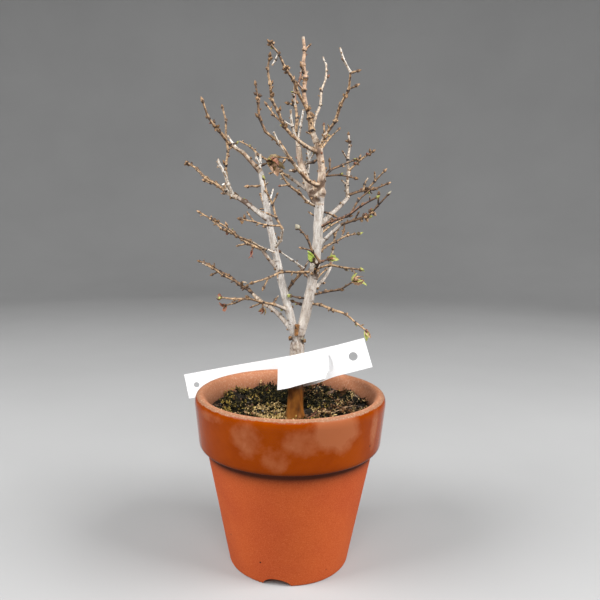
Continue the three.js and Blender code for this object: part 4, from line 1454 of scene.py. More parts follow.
# %% Twig tones
TONES = {
    "pale": [(222, 216, 208), (178, 165, 150)],
    "grey": [(192, 176, 157), (122, 102, 84)],
    "tan": [(186, 153, 115), (70, 47, 31)],
    "brown": [(132, 99, 67), (46, 31, 21)],
    "red": [(148, 105, 78), (62, 40, 29)],
    "pink": [(188, 155, 127), (110, 82, 62)],
    # dark is dealt only to undersides, as painted shade
    "dark": [(68, 46, 30), (28, 19, 13)],
    "scar": [(56, 38, 27), (28, 19, 14)],
    "wood": [(220, 200, 164), (190, 166, 130)],
    "amber": [(164, 114, 62), (64, 41, 23)],
}
TONE_NUMBER = {name: number for number, name in enumerate(TONES)}
# the darker tone that each tone takes on a twig's underside, as painted shade
SHADE_TONE_BELOW = {
    "pale": "grey",
    "grey": "tan",
    "tan": "brown",
    "brown": "dark",
    "red": "dark",
    "pink": "brown",
    "amber": "brown",
}
TWIG_MOTTLE = 1.5


def twig_finish(name, light, dark, mottle=0.8):
    """Young bark whose darker mottles are about as large as given, in millimetres."""
    twig = Finish("twig_" + name, 0.66)
    tone = twig.ramp(twig.noise(mottle, 4, 0.6), (0.37, paint(*dark)), (0.61, paint(*light)))
    twig.colour(tone)
    twig.bump(twig.noise(0.35, 3), 0.1, 0.5)
    return twig.material


twig_finishes = [twig_finish(name, *tones, TWIG_MOTTLE) for name, tones in TONES.items()]
print("twig tones", list(TONES))

# %% [markdown]
# ### Width of a twig
# A twig is knobbly: it swells at each joint by its own amount, and a little at its foot. A curve with a
# round bevel would come out even. The tube asks for a radius ring by ring, so a function gives it.

# %% Width of a twig
JOINT_SPREAD = 0.8


def joints_of(shoot):
    return int(shoot.reach / JOINT_SPACING + 0.5)


def twig_radius(shoot, chance):
    """Knobbly width: each joint swells by its own amount."""
    joints = max(2, joints_of(shoot))
    length = shoot.line.length
    swells = [0] + [0.25 + 0.55 * chance() for _ in range(joints - 1)] + [0.1]
    shifts = [1.2 * (chance() - 0.5) for _ in range(joints + 1)]

    def radius(share):
        joint = round(share * joints)
        off = (share - joint / joints) * length - shifts[joint]
        swell = swells[joint] * math.exp(-((off / JOINT_SPREAD) ** 2))
        foot = 0.3 * math.exp(-share * length / shoot.base)
        return shoot.radius(share) * (1.03 + swell + foot)

    return radius


# %% [markdown]
# ### Tones along a twig
# Most joints have a dark scar just below them, a cut end is bleached, and the underside gets painted
# shade. An image would have to be unwrapped along every twig. Dealing each face a tone by its share of
# the length and by how far it looks down needs no unwrapping.

# %% Twig tubes
TWIG_RING_GAP = 0.6
TWIG_WRINKLE = 0.06
THICK_TWIG = 1.7
SCAR_SHARE = 0.75
SCAR_BAND = (-1.0, 0.1)
GREY_FOOT = 0.22
twigs = Pile()


def tone_of(shoot):
    return shoot.tone if shoot.tone in TONES else "tan"


def looks_down(points, faces):
    """How far each face of a tube looks down, from -1 to 1; its two caps count as level."""
    corners = np.asarray(points)[np.array(faces[:-2])]
    outward = np.cross(corners[:, 2] - corners[:, 0], corners[:, 3] - corners[:, 1])
    down = -outward[:, 2] / np.linalg.norm(outward, axis=1)
    return np.concatenate([down, [0, 0]])


def twig_tones(shoot, along, down, chance):
    """A tone for each face, by how far along the shoot it is; undersides take a darker tone as painted
    shade.
    """
    joints = max(2, joints_of(shoot))
    length = shoot.line.length
    bleach = 0
    if shoot.end == "cut":
        bleach = (0.6 + 2.2 * chance() ** 2) / length
    scars = [chance() < SCAR_SHARE for _ in range(joints + 1)]
    change = 0.25 + 0.35 * chance()
    tones = []
    for share, underside_shade in zip(along, down):
        tone = shoot.tone
        if tone == "fading":
            tone = "grey" if share < change else "tan"
        elif tone in ("tan", "brown", "red") and shoot.base > THICK_TWIG and share < GREY_FOOT:
            tone = "grey"
        joint = round(share * joints)
        below = share * length - joint * length / joints
        on_scar = 0 < joint < joints and scars[joint] and SCAR_BAND[0] < below < SCAR_BAND[1]
        if on_scar and chance() < SCAR_SHARE:
            tone = "scar"
        if share > 1 - bleach:
            tone = "grey"
        # painted shade: faces that look down take a darker tone
        if underside_shade > 0.05 + 0.35 * chance():
            tone = SHADE_TONE_BELOW.get(tone, tone)
        tones.append(TONE_NUMBER[tone])
    is_fresh_cut = shoot.end == "cut" and shoot.tone != "pale"
    tones[-1] = TONE_NUMBER["wood" if is_fresh_cut else tone_of(shoot)]
    return tones


for (mass, name), shoot in shoots.items():
    chance = seeded_from(mass + name + "tone")
    sides = 12 if shoot.base > THICK_TWIG else 10
    width = twig_radius(shoot, chance)
    points, faces, along = tube(shoot.line, width, sides, TWIG_RING_GAP, TWIG_WRINKLE)
    twigs.add(points, faces, twig_tones(shoot, along, looks_down(points, faces), chance))
print("main twigs have", len(twigs.faces), "faces")

# %% [markdown]
# ## Buds
# A zelkova bud is a little pointed egg wrapped in overlapping scales, darker at its foot. One bud is made
# with care, a core and a set of curved scales, and it is then stretched and turned onto every joint.
# At some joints the bud has grown out into a short spur. The rule is the one that grew the solids.

# %% One bud
BUD_SCALES = 6


def bud_radius(up):
    """Half width of a bud of unit length at a height from 0 to 1."""
    return 0.3 * 2.86 * up**0.55 * (1 - up) ** 1.1


def bud_shape():
    """A bud pointing up the Z axis; each face is 0 on the lower scales and 1 above."""
    pile = Pile()
    levels = np.array([0.02, 0.2, 0.42, 0.66, 0.86, 0.99])
    pile.add(*turned(np.stack([bud_radius(levels) * 0.95, levels], -1), 7), 1)
    for scale in range(BUD_SCALES):
        facing = scale * (math.pi + 0.4)
        start = 0.01 + 0.1 * scale
        end = min(0.97, start + 0.5)
        lift = 1.2 - 0.03 * scale
        points = []
        for rise in (0, 0.35, 0.7, 1.0):
            up = start + (end - start) * rise
            half = 1.5 * (1 - rise**1.7) + 0.04
            for across in (-1, -0.4, 0.4, 1):
                turn = facing + half * across
                radius = bud_radius(up) * (lift - 0.1 * abs(across)) + 0.012
                points.append((radius * math.cos(turn), radius * math.sin(turn), up))
        pile.add(points, lattice_faces(4, 4, False), 0 if scale < 2 else 1)
    return np.concatenate(pile.points), pile.faces, np.array(pile.finish)


BUD_POINTS, BUD_FACES, BUD_ZONES = bud_shape()
print("one bud has", len(BUD_FACES), "faces")

# %% [markdown]
# ### Placing and colouring buds
# Buds run from brown through pink to green, and each has a dark foot. Instances of one bud would all
# share its colours. So the bud's points are copied, stretched and turned for each place, and seeded
# chance deals every copy a size and a tone.

# %% Bud finishes
BUD_TONES = {
    "foot": [(92, 66, 44), (54, 38, 26)],
    "brown": [(142, 108, 70), (96, 68, 42)],
    "pink": [(186, 152, 114), (144, 108, 76)],
    "green": [(158, 164, 84), (132, 118, 66)],
    "lime": [(182, 198, 96), (148, 166, 64)],
    "red": [(142, 88, 62), (102, 58, 42)],
    "pale": [(158, 152, 134), (120, 110, 90)],
    "amber": [(168, 122, 70), (80, 52, 29)],
}
BUD_NUMBER = {name: number for number, name in enumerate(BUD_TONES)}
bud_finishes = [twig_finish("bud_" + name, *tones) for name, tones in BUD_TONES.items()]
buds = Pile()
PLUMP_SHARE = 0.27


def basis_along(direction, roll):
    """Three directions as columns, the last along direction, turned about it by roll."""
    ahead = np.asarray(direction) / np.linalg.norm(direction)
    side = np.cross((0.31, 0.95, 0.05), ahead)
    side = side / np.linalg.norm(side)
    other = np.cross(ahead, side)
    first = side * math.cos(roll) + other * math.sin(roll)
    return np.stack([first, np.cross(ahead, first), ahead], -1)


def add_bud(foot, direction, length, width, tone, roll):
    stretch = np.array((width / 0.6, width / 0.6, length))
    points = (BUD_POINTS * stretch) @ basis_along(direction, roll).T + foot
    numbers = np.where(BUD_ZONES == 0, BUD_NUMBER["foot"], BUD_NUMBER[tone])
    buds.add(points, BUD_FACES, numbers.tolist())


def bud_tone(chance):
    share = chance()
    for tone, limit in (("brown", 0.52), ("pink", 0.8), ("pale", 0.87), ("green", 0.94)):
        if share < limit:
            return tone
    return "red"


def bud_size(chance):
    """Length and width: most side buds are small, one in four is plump."""
    if chance() < PLUMP_SHARE:
        return 2.6 + 0.9 * chance(), 1.2 + 0.35 * chance()
    return 1.5 + 0.9 * chance(), 0.8 + 0.35 * chance()


print("bud tones", list(BUD_TONES))

# %% [markdown]
# ### Room between shoots
# Twigs seldom touch, since a bud in the shade stays shut. A collision test between meshes would be slow.
# Points along every limb and shoot, each with its radius, answer the same question: is a place clear
# of everything but its own group?

# %% Room between shoots
CLEARANCE = 0.8
BUD_WIDTH = 1.25


def crowd_points():
    """Points along every limb and shoot with their radius and owner, for keeping spurs apart."""
    spots, radii, owners = [], [], []
    for grown in [*limbs.values(), *shoots.values()]:
        count = math.ceil(grown.line.length)
        shares = np.arange(count + 1) / count
        spots.append(grown.line.many(shares))
        radii.append(grown.radius(shares))
        owners += [grown.owner] * (count + 1)
    return np.concatenate(spots), np.concatenate(radii), np.array(owners)


crowd_spots, crowd_radii, crowd_owners = crowd_points()


def is_clear(point, owner):
    far = np.linalg.norm(crowd_spots - point, axis=1) > crowd_radii + CLEARANCE + BUD_WIDTH
    return bool(np.all(far | (crowd_owners == owner)))


print("room is checked against", len(crowd_spots), "places")

# %% [markdown]
# ### Buds and spurs at the joints
# Every joint of a shoot bears a bud, on alternate sides, and some have grown out into a short spur. A
# particle system would scatter them without regard to the joints. So a rule walks along each shoot
# from joint to joint, and leaves out what would touch a neighbour.

# %% Buds and spurs at the joints
SPUR_SHARE = 0.22
SPUR_LENGTH = 4.5
SPUR_WIDTH = 0.9
SPUR_SPREAD = 48
BUD_LENGTH = 2.3


def turned_about(vector, axis, angle):
    return np.array(Matrix.Rotation(angle, 3, Vector(axis)) @ Vector(vector))


def side_of(direction, turn):
    side = np.cross((0, 1, 0), direction)
    return turned_about(side / np.linalg.norm(side), direction, turn)


def thin_twig(foot, direction, length, width, tone, bow=0.0):
    """A short twig, bowed a little, with a swollen end."""
    middle = foot + direction * length * 0.5 + side_of(direction, 1.3) * bow * length
    line = GrowthLine([foot, middle, foot + direction * length])
    points, faces, _ = tube(line, lambda share: width / 2 * (1 + 0.25 * share**6), 8, 0.6, 0.07)
    # faces that look down take a darker tone, as painted shade
    tones = [SHADE_TONE_BELOW[tone] if down > 0.4 else tone for down in looks_down(points, faces)]
    twigs.add(points, faces, [TONE_NUMBER[tone] for tone in tones])


def side_growth(shoot, looks):
    joints = joints_of(shoot)
    for joint in range(1, joints):
        share = joint / joints
        foot = shoot.line.at(share)
        ahead = shoot.line.heading(share)
        side = side_of(ahead, (joint % 2) * math.pi + 1.6 * (shoot.chance() - 0.5))
        spread = math.radians(SPUR_SPREAD)
        outward = ahead * math.cos(spread) + side * math.sin(spread)
        is_spur = shoot.chance() < SPUR_SHARE
        length = SPUR_LENGTH * (0.7 + 0.6 * shoot.chance())
        tip = foot + outward * (length + BUD_LENGTH if is_spur else BUD_LENGTH)
        if not is_clear(tip, shoot.owner) or not is_clear(foot, shoot.owner):
            continue
        if is_spur:
            thin_twig(foot, outward, length, SPUR_WIDTH, tone_of(shoot), 0.12 * (looks() - 0.5))
            foot = foot + outward * length * 0.96
        else:
            foot = foot + side * shoot.radius(share) * 0.8
            outward = ahead * (0.9 + 0.5 * looks()) + side * (0.4 + 0.5 * looks())
        add_bud(foot, outward, *bud_size(looks), bud_tone(looks), 6 * looks())


for (mass, name), shoot in shoots.items():
    shoot.end_turn = shoot.chance() * math.pi
    side_growth(shoot, seeded_from(mass + name + "bud"))
print("buds so far", len(buds.points), "faces", len(buds.faces))

# %% [markdown]
# ### Sleeping buds on the boughs
# Small buds sleep along every bough, on one side and the other. They hardly show, so a rule spaces them
# out and chance turns them. Each is set on the surface of its limb, with its foot sunk in a little.

# %% Sleeping buds
LIMB_BUD_SPACING = 4.6


def add_old_bud(name, share, degrees, length, width, tone):
    limb = limbs[name]
    ahead = limb.line.heading(share)
    side = side_of(ahead, math.radians(degrees))
    foot = limb.line.at(share) + side * limb.radius(share) * 0.86
    add_bud(foot, ahead + side * 0.8, length, width, tone, degrees)


def add_limb_buds(name, chance):
    """Small dormant buds spaced along a bough, each turned to a side by chance."""
    limb = limbs[name]
    for along in np.arange(4, limb.line.length - 2, LIMB_BUD_SPACING):
        share = along / limb.line.length
        degrees = 180 * chance() + (180 if chance() < 0.5 else 0)
        add_old_bud(name, share, degrees, 1.2 + 1.0 * chance(), 0.9 + 0.5 * chance(), bud_tone(chance))


for name in limbs:
    if name not in OLD_WOOD:
        add_limb_buds(name, seeded_from(name + "bud"))
print("buds with the sleeping ones", len(buds.points))

# %% [markdown]
# ### Knots of buds
# Where a shoot was cut back again and again, many small buds crowd round one spot. They could be set
# one by one. A table of the spots, with a number of buds for each, is shorter and easy to change.

# %% Knots of buds
# group, shoot, how far along it, buds in the knot, share of dark ones
KNOTS = rows_of("""
twigs_right_high right 0.5 8 0.6
twigs_right_mid stem 0.42 6 0.6
twigs_right_mid stem 0.56 7 0.6
twigs_low_left stem 0.35 5 0.6
twigs_left stem 0.5 4 0.1
twigs_front stem 0.62 5 0.1
twigs_top_right stem 0.18 4 0.1
twigs_apex stem 0.9 4 0.1
twigs_crown_left stem 0.15 4 0.1
twigs_mid_left stem 0.05 4 0.1
twigs_mid_left stem 0.96 3 0.1
twigs_apex left_arm 0.97 4 0.1
twigs_apex left_arm 0.58 5 0.1
twigs_crown_centre stem 0.97 5 0.1
twigs_crown_left stem 0.55 4 0.1
twigs_crown_left stem 0.96 3 0.1
twigs_crown_front tip 0.75 4 0.1
twigs_top_right stem 0.72 4 0.1
twigs_right_high stem 0.85 6 0.6
twigs_right_high side 0.9 4 0.1
twigs_right_high side 0.4 4 0.1
twigs_left_front across 0.95 3 0.1
twigs_left_upper stem 0.97 3 0.1
twigs_left_top stem 0.6 4 0.1
twigs_low_left stem 0.8 3 0.1
""")


def add_knot(shoot, share, count, dark, chance):
    """Many little buds crowded round one place of a shoot."""
    for _ in range(int(count)):
        at = share + (chance() - 0.5) * 3.2 / shoot.line.length
        ahead = shoot.line.heading(at)
        side = side_of(ahead, 2 * math.pi * chance())
        outward = ahead * (chance() - 0.2) + side * 0.8
        tone = "foot" if chance() < dark else bud_tone(chance)
        foot = shoot.line.at(at) + side * shoot.radius(at) * 0.5
        add_bud(foot, outward, 1.8 + 1.2 * chance(), 1.2 + 0.6 * chance(), tone, 6 * chance())


for mass, name, *knot in KNOTS:
    add_knot(shoots[mass, name], *knot, seeded_from(mass + name + "knot"))
print("knots", len(KNOTS), "with", int(sum(row[3] for row in KNOTS)), "buds")

# %% [markdown]
# ### Buds on old wood
# A few plump buds sit on the trunk and stems, and a short amber stub stands in the fork. They catch the
# eye, so chance won't do: each has a row with its place, its turn about the limb and its size.

# %% Buds on old wood
# limb, share along it, turn about it from the viewer's right, length, width, tone
OLD_BUDS = rows_of("""
trunk 0.96 330 2.6 2.3 brown
trunk 0.97 190 2.9 2.6 amber
trunk 0.985 310 2.3 1.9 pale
right_stem 0.475 250 2.6 1.9 pink
right_stem 0.49 285 2.8 2.0 pink
right_stem 0.5 200 1.8 1.4 brown
right_stem 0.485 330 2.0 1.5 brown
right_stem 0.63 20 2.0 1.6 brown
right_stem 0.99 240 2.2 1.7 brown
left_stem 0.2 10 1.8 1.4 brown
left_stem 0.44 200 1.8 1.4 brown
left_stem 0.73 190 2.0 1.5 brown
right_leader 0.5 10 2.0 1.4 brown
right_leader 0.62 300 1.8 1.4 pink
""")
FORK_STUB_SHIFT = (-0.8, -2.2, 3.2)
FORK_STUB_LENGTH = 6
FORK_STUB_WIDTH = 2.4
for row in OLD_BUDS:
    add_old_bud(*row)
fork = limbs["trunk"].line.at(0.97) + FORK_STUB_SHIFT
thin_twig(fork, np.array((0.05, -0.08, 1)), FORK_STUB_LENGTH, FORK_STUB_WIDTH, "amber")
print("plump buds", len(OLD_BUDS), "buds so far", len(buds.points))

# %% [markdown]
# ## Finer twigs
# The solids stop at the joints' buds. The real shoots also carry finer growth between them: hair-thin
# twiglets a few millimetres long, and little humps where buds dropped. The same kind of rule places them
# half way between joints, and one that would touch another shoot is left out.

# %% Fine twiglets
FINE_SHARE = 0.75
FINE_WIDTH = 0.62
FINE_BUD = 0.55


def fine_growth(shoot, chance):
    joints = joints_of(shoot)
    for joint in range(joints):
        share = (joint + 0.35 + 0.3 * chance()) / joints
        grows, turn, grown = chance(), chance(), chance()
        if grows > FINE_SHARE or share * shoot.line.length < 3:
            continue
        foot = shoot.line.at(share)
        ahead = shoot.line.heading(share)
        outward = ahead * 0.62 + side_of(ahead, 2 * math.pi * turn) * 0.78
        length = 0.2 + 2.4 * grown**3
        if not is_clear(foot + outward * (length + 1.5), shoot.owner):
            continue
        thin_twig(foot, outward, length + shoot.radius(share), FINE_WIDTH, tone_of(shoot))
        tip = foot + outward * (length + shoot.radius(share)) * 0.9
        add_bud(tip, outward, BUD_LENGTH * FINE_BUD, BUD_WIDTH * FINE_BUD, bud_tone(chance), 6 * turn)


for (mass, name), shoot in shoots.items():
    fine_growth(shoot, seeded_from(mass + name + "fine"))
print("buds with twiglets", len(buds.points))

# %% [markdown]
# ## Opening leaves and dead ones
# A few buds have opened into small leaves, lime green or blushed brown, and some old ones cling on, rusty
# and curled. A flat card with a painted leaf would do from afar. A small grid of faces, folded along its
# rib, toothed at the edge and curled along its length, holds up close by as well.

# %% Leaf shape
LEAF_TONES = {
    "fresh": [(176, 178, 98), (136, 142, 66)],
    "lime": [(186, 200, 100), (150, 168, 66)],
    "blush": [(206, 172, 140), (162, 120, 92)],
    "dead": [(144, 122, 78), (82, 64, 38)],
    "rust": [(150, 96, 68), (104, 60, 42)],
    "red": [(142, 66, 58), (104, 44, 42)],
    "old": [(116, 80, 50), (64, 43, 28)],
}
LEAF_NUMBER = {name: number for number, name in enumerate(LEAF_TONES)}


def leaf_finish(name, light, dark, roughness=0.55, specular=0.5):
    leaf = Finish("leaf_" + name, roughness, specular)
    leaf.colour(leaf.ramp(leaf.noise(1.4, 4), (0.35, paint(*dark)), (0.65, paint(*light))))
    leaf.bump(leaf.noise(0.6, 3), 0.12, 0.5)
    return leaf.material


leaf_finishes = [leaf_finish(name, *tones) for name, tones in LEAF_TONES.items()]
leaves = Pile()
LEAF_ROWS = 9
LEAF_COLUMNS = (-1, -0.5, 0, 0.5, 1)


def add_leaf(foot, direction, roll, length, width, fold, curl, tone):
    """One toothed leaf; fold lifts its halves about the rib and curl bends it back."""
    points = []
    for row in range(LEAF_ROWS):
        rise = row / (LEAF_ROWS - 1)
        half = width / 2 * math.sin(math.pi * min(1, 0.06 + 0.94 * rise) ** 0.75) ** 0.85
        tooth = 1 + (0.12 if row % 2 else -0.06)
        bend = curl * rise
        reach = length * math.sin(bend) / curl
        drop = length * (1 - math.cos(bend)) / curl
        for across in LEAF_COLUMNS:
            out = half * across * (tooth if abs(across) == 1 else 1)
            lift = abs(out) * math.sin(fold)
            back = drop - lift * math.cos(bend)
            ahead = reach + lift * math.sin(bend)
            points.append((out * math.cos(fold), back, ahead))
    placed = np.array(points) @ basis_along(direction, roll).T + foot
    leaves.add(placed, lattice_faces(LEAF_ROWS, len(LEAF_COLUMNS), False), LEAF_NUMBER[tone])


print("a leaf has", (LEAF_ROWS - 1) * (len(LEAF_COLUMNS) - 1), "faces")

# %% [markdown]
# ### What the shoots end in
# A shoot ends in a bud, in a plain cut, or in a bud with a few opening or withered leaves round it.
# Each kind could have its own function, but they differ only in tones, sizes and lean. So one function
# makes them all from a table, and twigs, buds and leaves then become one piece each.

# %% Shoot ends
LEAFY_ENDS = {
    # bud tone, bud length and width, leaf tones, leaf length, spread, hang, curl
    "green": ("green", 3.2, 2.0, ["lime", "fresh"], 3.0, 0.25, 0, 0.7),
    "lime": ("lime", 6.2, 3.4, ["lime", "lime", "lime", "fresh"], 6.4, 0.12, -0.5, 0.3),
    "split": ("red", 3.8, 2.6, ["lime", "fresh", "lime", "blush", "fresh"], 5.6, 0.4, 0, 0.6),
    "leaf": (
        "pink", 2.4, 1.5, ["blush", "fresh", "blush", "blush", "fresh", "rust", "blush"],
        7.2, 0.8, 0, 0.7,
    ),
    "rust": ("brown", 2.0, 1.4, ["rust", "dead", "rust", "rust", "fresh"], 3.8, 0.9, 0.2, 1.6),
    "hang": ("red", 2.8, 1.7, ["fresh", "blush", "fresh", "lime"], 6.0, 0.7, 1.3, 0.5),
    "red_leaf": ("red", 1.6, 1.2, ["red", "rust"], 5.6, 0.3, 1.2, 0.8),
    "dead": (
        "green", 5.0, 3.6, ["dead", "rust", "dead", "dead", "blush", "dead", "rust", "dead", "dead"],
        8.4, 1.0, 0.4, 1.7,
    ),
}


def leafy_end(foot, ahead, side, looks, tone, bud_length, bud_width, tones, length, spread, hang, curl):
    """A bud with small leaves fanned out round it."""
    add_bud(foot, ahead, bud_length, bud_width, tone, 6 * looks())
    for number, leaf_tone in enumerate(tones):
        lean = turned_about(side, ahead, 2 * math.pi * (number + 0.5 * looks()) / len(tones))
        direction = ahead + lean * spread * (0.6 + 0.8 * looks()) + np.array((0, 0, -hang))
        size = length * (0.75 + 0.5 * looks())
        bend = curl * (0.7 + 0.6 * looks())
        add_leaf(foot + ahead * 0.5, direction, 6 * looks(), size, size * 0.5, 0.6, bend, leaf_tone)


def ball_end(foot, ahead, looks):
    """A round pale bud, still shut."""
    add_bud(foot - ahead * 0.6, ahead, 3.6, 2.9, "pale", 6 * looks())
    for turn in range(3):
        lean = turned_about(side_of(ahead, 0), ahead, turn * 2.1)
        add_bud(foot, ahead * 0.4 + lean, 1.6, 1.1, "brown", turn)


def end_growth(shoot, looks):
    foot = shoot.line.at(0.97)
    ahead = shoot.line.heading(1)
    if shoot.end == "bud":
        add_bud(foot, ahead, 2.9 + 0.9 * looks(), 1.35 + 0.35 * looks(), bud_tone(looks), 6 * looks())
    elif shoot.end == "ball":
        ball_end(foot, ahead, looks)
    elif shoot.end in LEAFY_ENDS:
        leafy_end(foot, ahead, side_of(ahead, shoot.end_turn), looks, *LEAFY_ENDS[shoot.end])


for (mass, name), shoot in shoots.items():
    end_growth(shoot, seeded_from(mass + name + "end"))

twig_piece = twigs.piece("twigs", twig_finishes, 60)
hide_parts(*[row[0] for row in MASSES])
bud_piece = buds.piece("buds", bud_finishes, 70)
leaf_piece = leaves.piece("young_and_dead_leaves", leaf_finishes)

# %% [markdown]
# ## Moss, crumbs and litter
# The soil is covered with moss, dark below and olive to straw at the tips, with tan crumbs between and dry
# strands at the right. Instances on points would be lost in an export, so thousands of tiny shapes are
# scattered with a seeded generator. Which tone is common has a place on the soil: a clump takes its
# shares of tones from the nearest listed area.

# %% Scattering on the soil
SCATTER_SEED = 11
scatter = np.random.default_rng(SCATTER_SEED)
SOIL_EDGE = inner_radius(SOIL_LEVEL) - 1.2
TRUNK_CLEAR = 6.2


def soil_spots(count):
    """Even random spots on the soil, away from the trunk."""
    spots = []
    while len(spots) < count:
        x, y = scatter.uniform(-SOIL_EDGE, SOIL_EDGE, 2)
        near_trunk = math.hypot(x - TRUNK_FOOT[0], y - TRUNK_FOOT[1]) < TRUNK_CLEAR
        if math.hypot(x, y) < SOIL_EDGE and not near_trunk:
            spots.append((x, y))
    return spots


def upward(lean):
    """A random direction within a lean of upright."""
    turn = scatter.uniform(0, 2 * math.pi)
    tilt = scatter.uniform(0, lean)
    return np.array((math.sin(tilt) * math.cos(turn), math.sin(tilt) * math.sin(turn), math.cos(tilt)))


MOSS_TONES = {
    "deep": [(34, 33, 20), (13, 13, 8)],
    "olive": [(92, 80, 42), (50, 46, 24)],
    "bright": [(156, 130, 66), (104, 90, 40)],
    "straw": [(206, 180, 126), (162, 134, 88)],
    "brown": [(124, 86, 54), (80, 54, 33)],
}
MOSS_AREAS = [
    # centre x and y, then the shares of deep, olive, bright, straw and brown tips
    (-30, -12, (0.42, 0.16, 0.18, 0.16, 0.08)),
    (-43, -7, (0.14, 0.3, 0.5, 0.05, 0.01)),
    (-30, 22, (0.58, 0.24, 0.14, 0.03, 0.01)),
    (-8, 25, (0.68, 0.2, 0.09, 0.02, 0.01)),
    (-10, -12, (0.08, 0.08, 0.16, 0.64, 0.04)),
    (14, 14, (0.7, 0.2, 0.05, 0.03, 0.02)),
    (18, -8, (0.32, 0.08, 0.06, 0.22, 0.32)),
    (37, 8, (0.46, 0.1, 0.04, 0.15, 0.25)),
    (24, 30, (0.48, 0.14, 0.02, 0.12, 0.24)),
    (0, -36, (0.5, 0.24, 0.16, 0.07, 0.03)),
]
moss_finishes = [leaf_finish("moss_" + name, *tones, 0.9, 0.12) for name, tones in MOSS_TONES.items()]
print("soil spots within", round(SOIL_EDGE, 1), "mm")

# %% [markdown]
# ### Clumps of moss
# A clump of moss is a tuft of sprigs, each with pointed leaflets in a spiral. Hair would be quick to
# grow, but it is no mesh and doesn't come along in an export. So each leaflet is two flat faces; only the
# upper ones take the tip tone, and the lower ones take the deep tone as painted shade, which gives the
# tuft its depth.

# %% Moss clumps
CLUMPS = 640
SPRIGS_IN_CLUMP = 9
LEAFLETS = 6
CLUMP_RADIUS = 2.3
GAP_LEVEL = -0.2
OWN_TONE = 0.65
moss = Pile()


def tip_tone(x, y):
    nearest = min(MOSS_AREAS, key=lambda area: math.hypot(x - area[0], y - area[1]))
    return int(scatter.choice(len(MOSS_TONES), p=nearest[2]))


def add_sprig(foot, stem, length, tone):
    """Pointed leaflets set in a spiral up a stem; the lower ones take the deep tone as painted shade."""
    side = side_of(stem, scatter.uniform(0, 6))
    for leaflet in range(LEAFLETS):
        rise = (leaflet + 1) / LEAFLETS
        outward = stem * 0.65 + turned_about(side, stem, 2.4 * leaflet) * 0.76
        root = foot + stem * length * rise
        size = (1.7 - 0.5 * rise) * scatter.uniform(0.75, 1.25)
        half = np.cross(outward, stem) * 0.34 * size
        middle = root + outward * size * 0.5
        tip = root + outward * size
        points = [root - half * 0.5, middle - half, tip, middle + half, root + half * 0.5]
        # leaflets low in the tuft take the deep tone, 0, as painted shade
        moss.add(points, [(0, 1, 3, 4), (1, 2, 3)], tone if rise > 0.6 else 0)


def add_clump(x, y):
    tall = scatter.uniform(0.5, 1.6) * (1 + 0.7 * smooth_step(y, 0, 18))
    common_tone = tip_tone(x, y)
    for _ in range(SPRIGS_IN_CLUMP):
        away = CLUMP_RADIUS * math.sqrt(scatter.uniform())
        turn = scatter.uniform(0, 2 * math.pi)
        at_x = x + away * math.cos(turn)
        at_y = y + away * math.sin(turn)
        if math.hypot(at_x, at_y) > SOIL_EDGE:
            continue
        lean = 0.28 * away
        stem = upward(0.4) + np.array((math.cos(turn), math.sin(turn), 0)) * lean
        foot = np.array((at_x, at_y, bed_height(at_x, at_y) - 0.3))
        length = tall * scatter.uniform(1.2, 2.4) * (1.1 - 0.2 * away)
        tone = common_tone if scatter.uniform() < OWN_TONE else tip_tone(at_x, at_y)
        add_sprig(foot, stem / np.linalg.norm(stem), length, tone)


for x, y in soil_spots(CLUMPS):
    if noise.noise(Vector((x, y, 5)) / 7) > GAP_LEVEL:
        add_clump(x, y)
moss_piece = moss.piece("moss", moss_finishes)

# %% [markdown]
# ### Crumbs and grit
# Loose crumbs and grains lie between the clumps, with small heaps near the trunk. Spheres would look
# like beads. One lump with twelve corners is made, and each copy has its corners pulled in and out
# and is then stretched and turned.

# %% Crumbs and grit
CRUMBS = 1500
CRUMB_SHARES = [0.14, 0.3, 0.1, 0.46]
crumbs = Pile()
CRUMB_TONES = {
    "tan": [(190, 156, 112), (148, 116, 78)],
    "brown": [(116, 80, 50), (82, 56, 34)],
    "grey": [(122, 116, 106), (90, 84, 76)],
    "dark": [(46, 36, 26), (26, 20, 16)],
}
CRUMB_HEAPS = [
    # centre x and y, half width, half depth, crumbs, tone
    (15, -9, 6, 4, 46, 0),
    (-20, -11, 9, 3, 40, 0),
    (16, -6, 6, 4, 24, 1),
    (30, 2, 8, 8, 30, 1),
]


def crumb_shape():
    """A small lump with twelve corners."""
    golden = (1 + 5**0.5) / 2
    corners = [(0, one, two * golden) for one in (-1, 1) for two in (-1, 1)]
    corners = [np.roll(corner, turn) for turn in range(3) for corner in corners]
    lump = bmesh.new()
    for point in np.array(corners) / math.hypot(1, golden):
        lump.verts.new(point)
    bmesh.ops.convex_hull(lump, input=lump.verts)
    lump.verts.index_update()
    faces = [[vert.index for vert in face.verts] for face in lump.faces]
    points = np.array([vert.co for vert in lump.verts])
    lump.free()
    return points, faces


LUMP_POINTS, LUMP_FACES = crumb_shape()


def add_crumb(x, y, size, tone, lift=0.12):
    jitter = scatter.uniform(0.65, 1.25, (len(LUMP_POINTS), 1))
    stretch = scatter.uniform(0.6, 1.2, 3) * size / 2
    points = (LUMP_POINTS * jitter * stretch) @ basis_along(upward(1.5), scatter.uniform(0, 6)).T
    crumbs.add(points + (x, y, bed_height(x, y) + size * lift), LUMP_FACES, tone)


for x, y in soil_spots(CRUMBS):
    add_crumb(x, y, scatter.uniform(0.6, 1.7), int(scatter.choice(len(CRUMB_TONES), p=CRUMB_SHARES)))
for x, y, half_width, half_depth, count, tone in CRUMB_HEAPS:
    for _ in range(count):
        at = scatter.normal(0, 0.5, 2) * (half_width, half_depth) + (x, y)
        add_crumb(*at, scatter.uniform(0.7, 1.9), tone, 0.7)
crumb_finishes = [twig_finish("crumb_" + name, *tones) for name, tones in CRUMB_TONES.items()]
crumb_piece = crumbs.piece("soil_crumbs", crumb_finishes, 35)

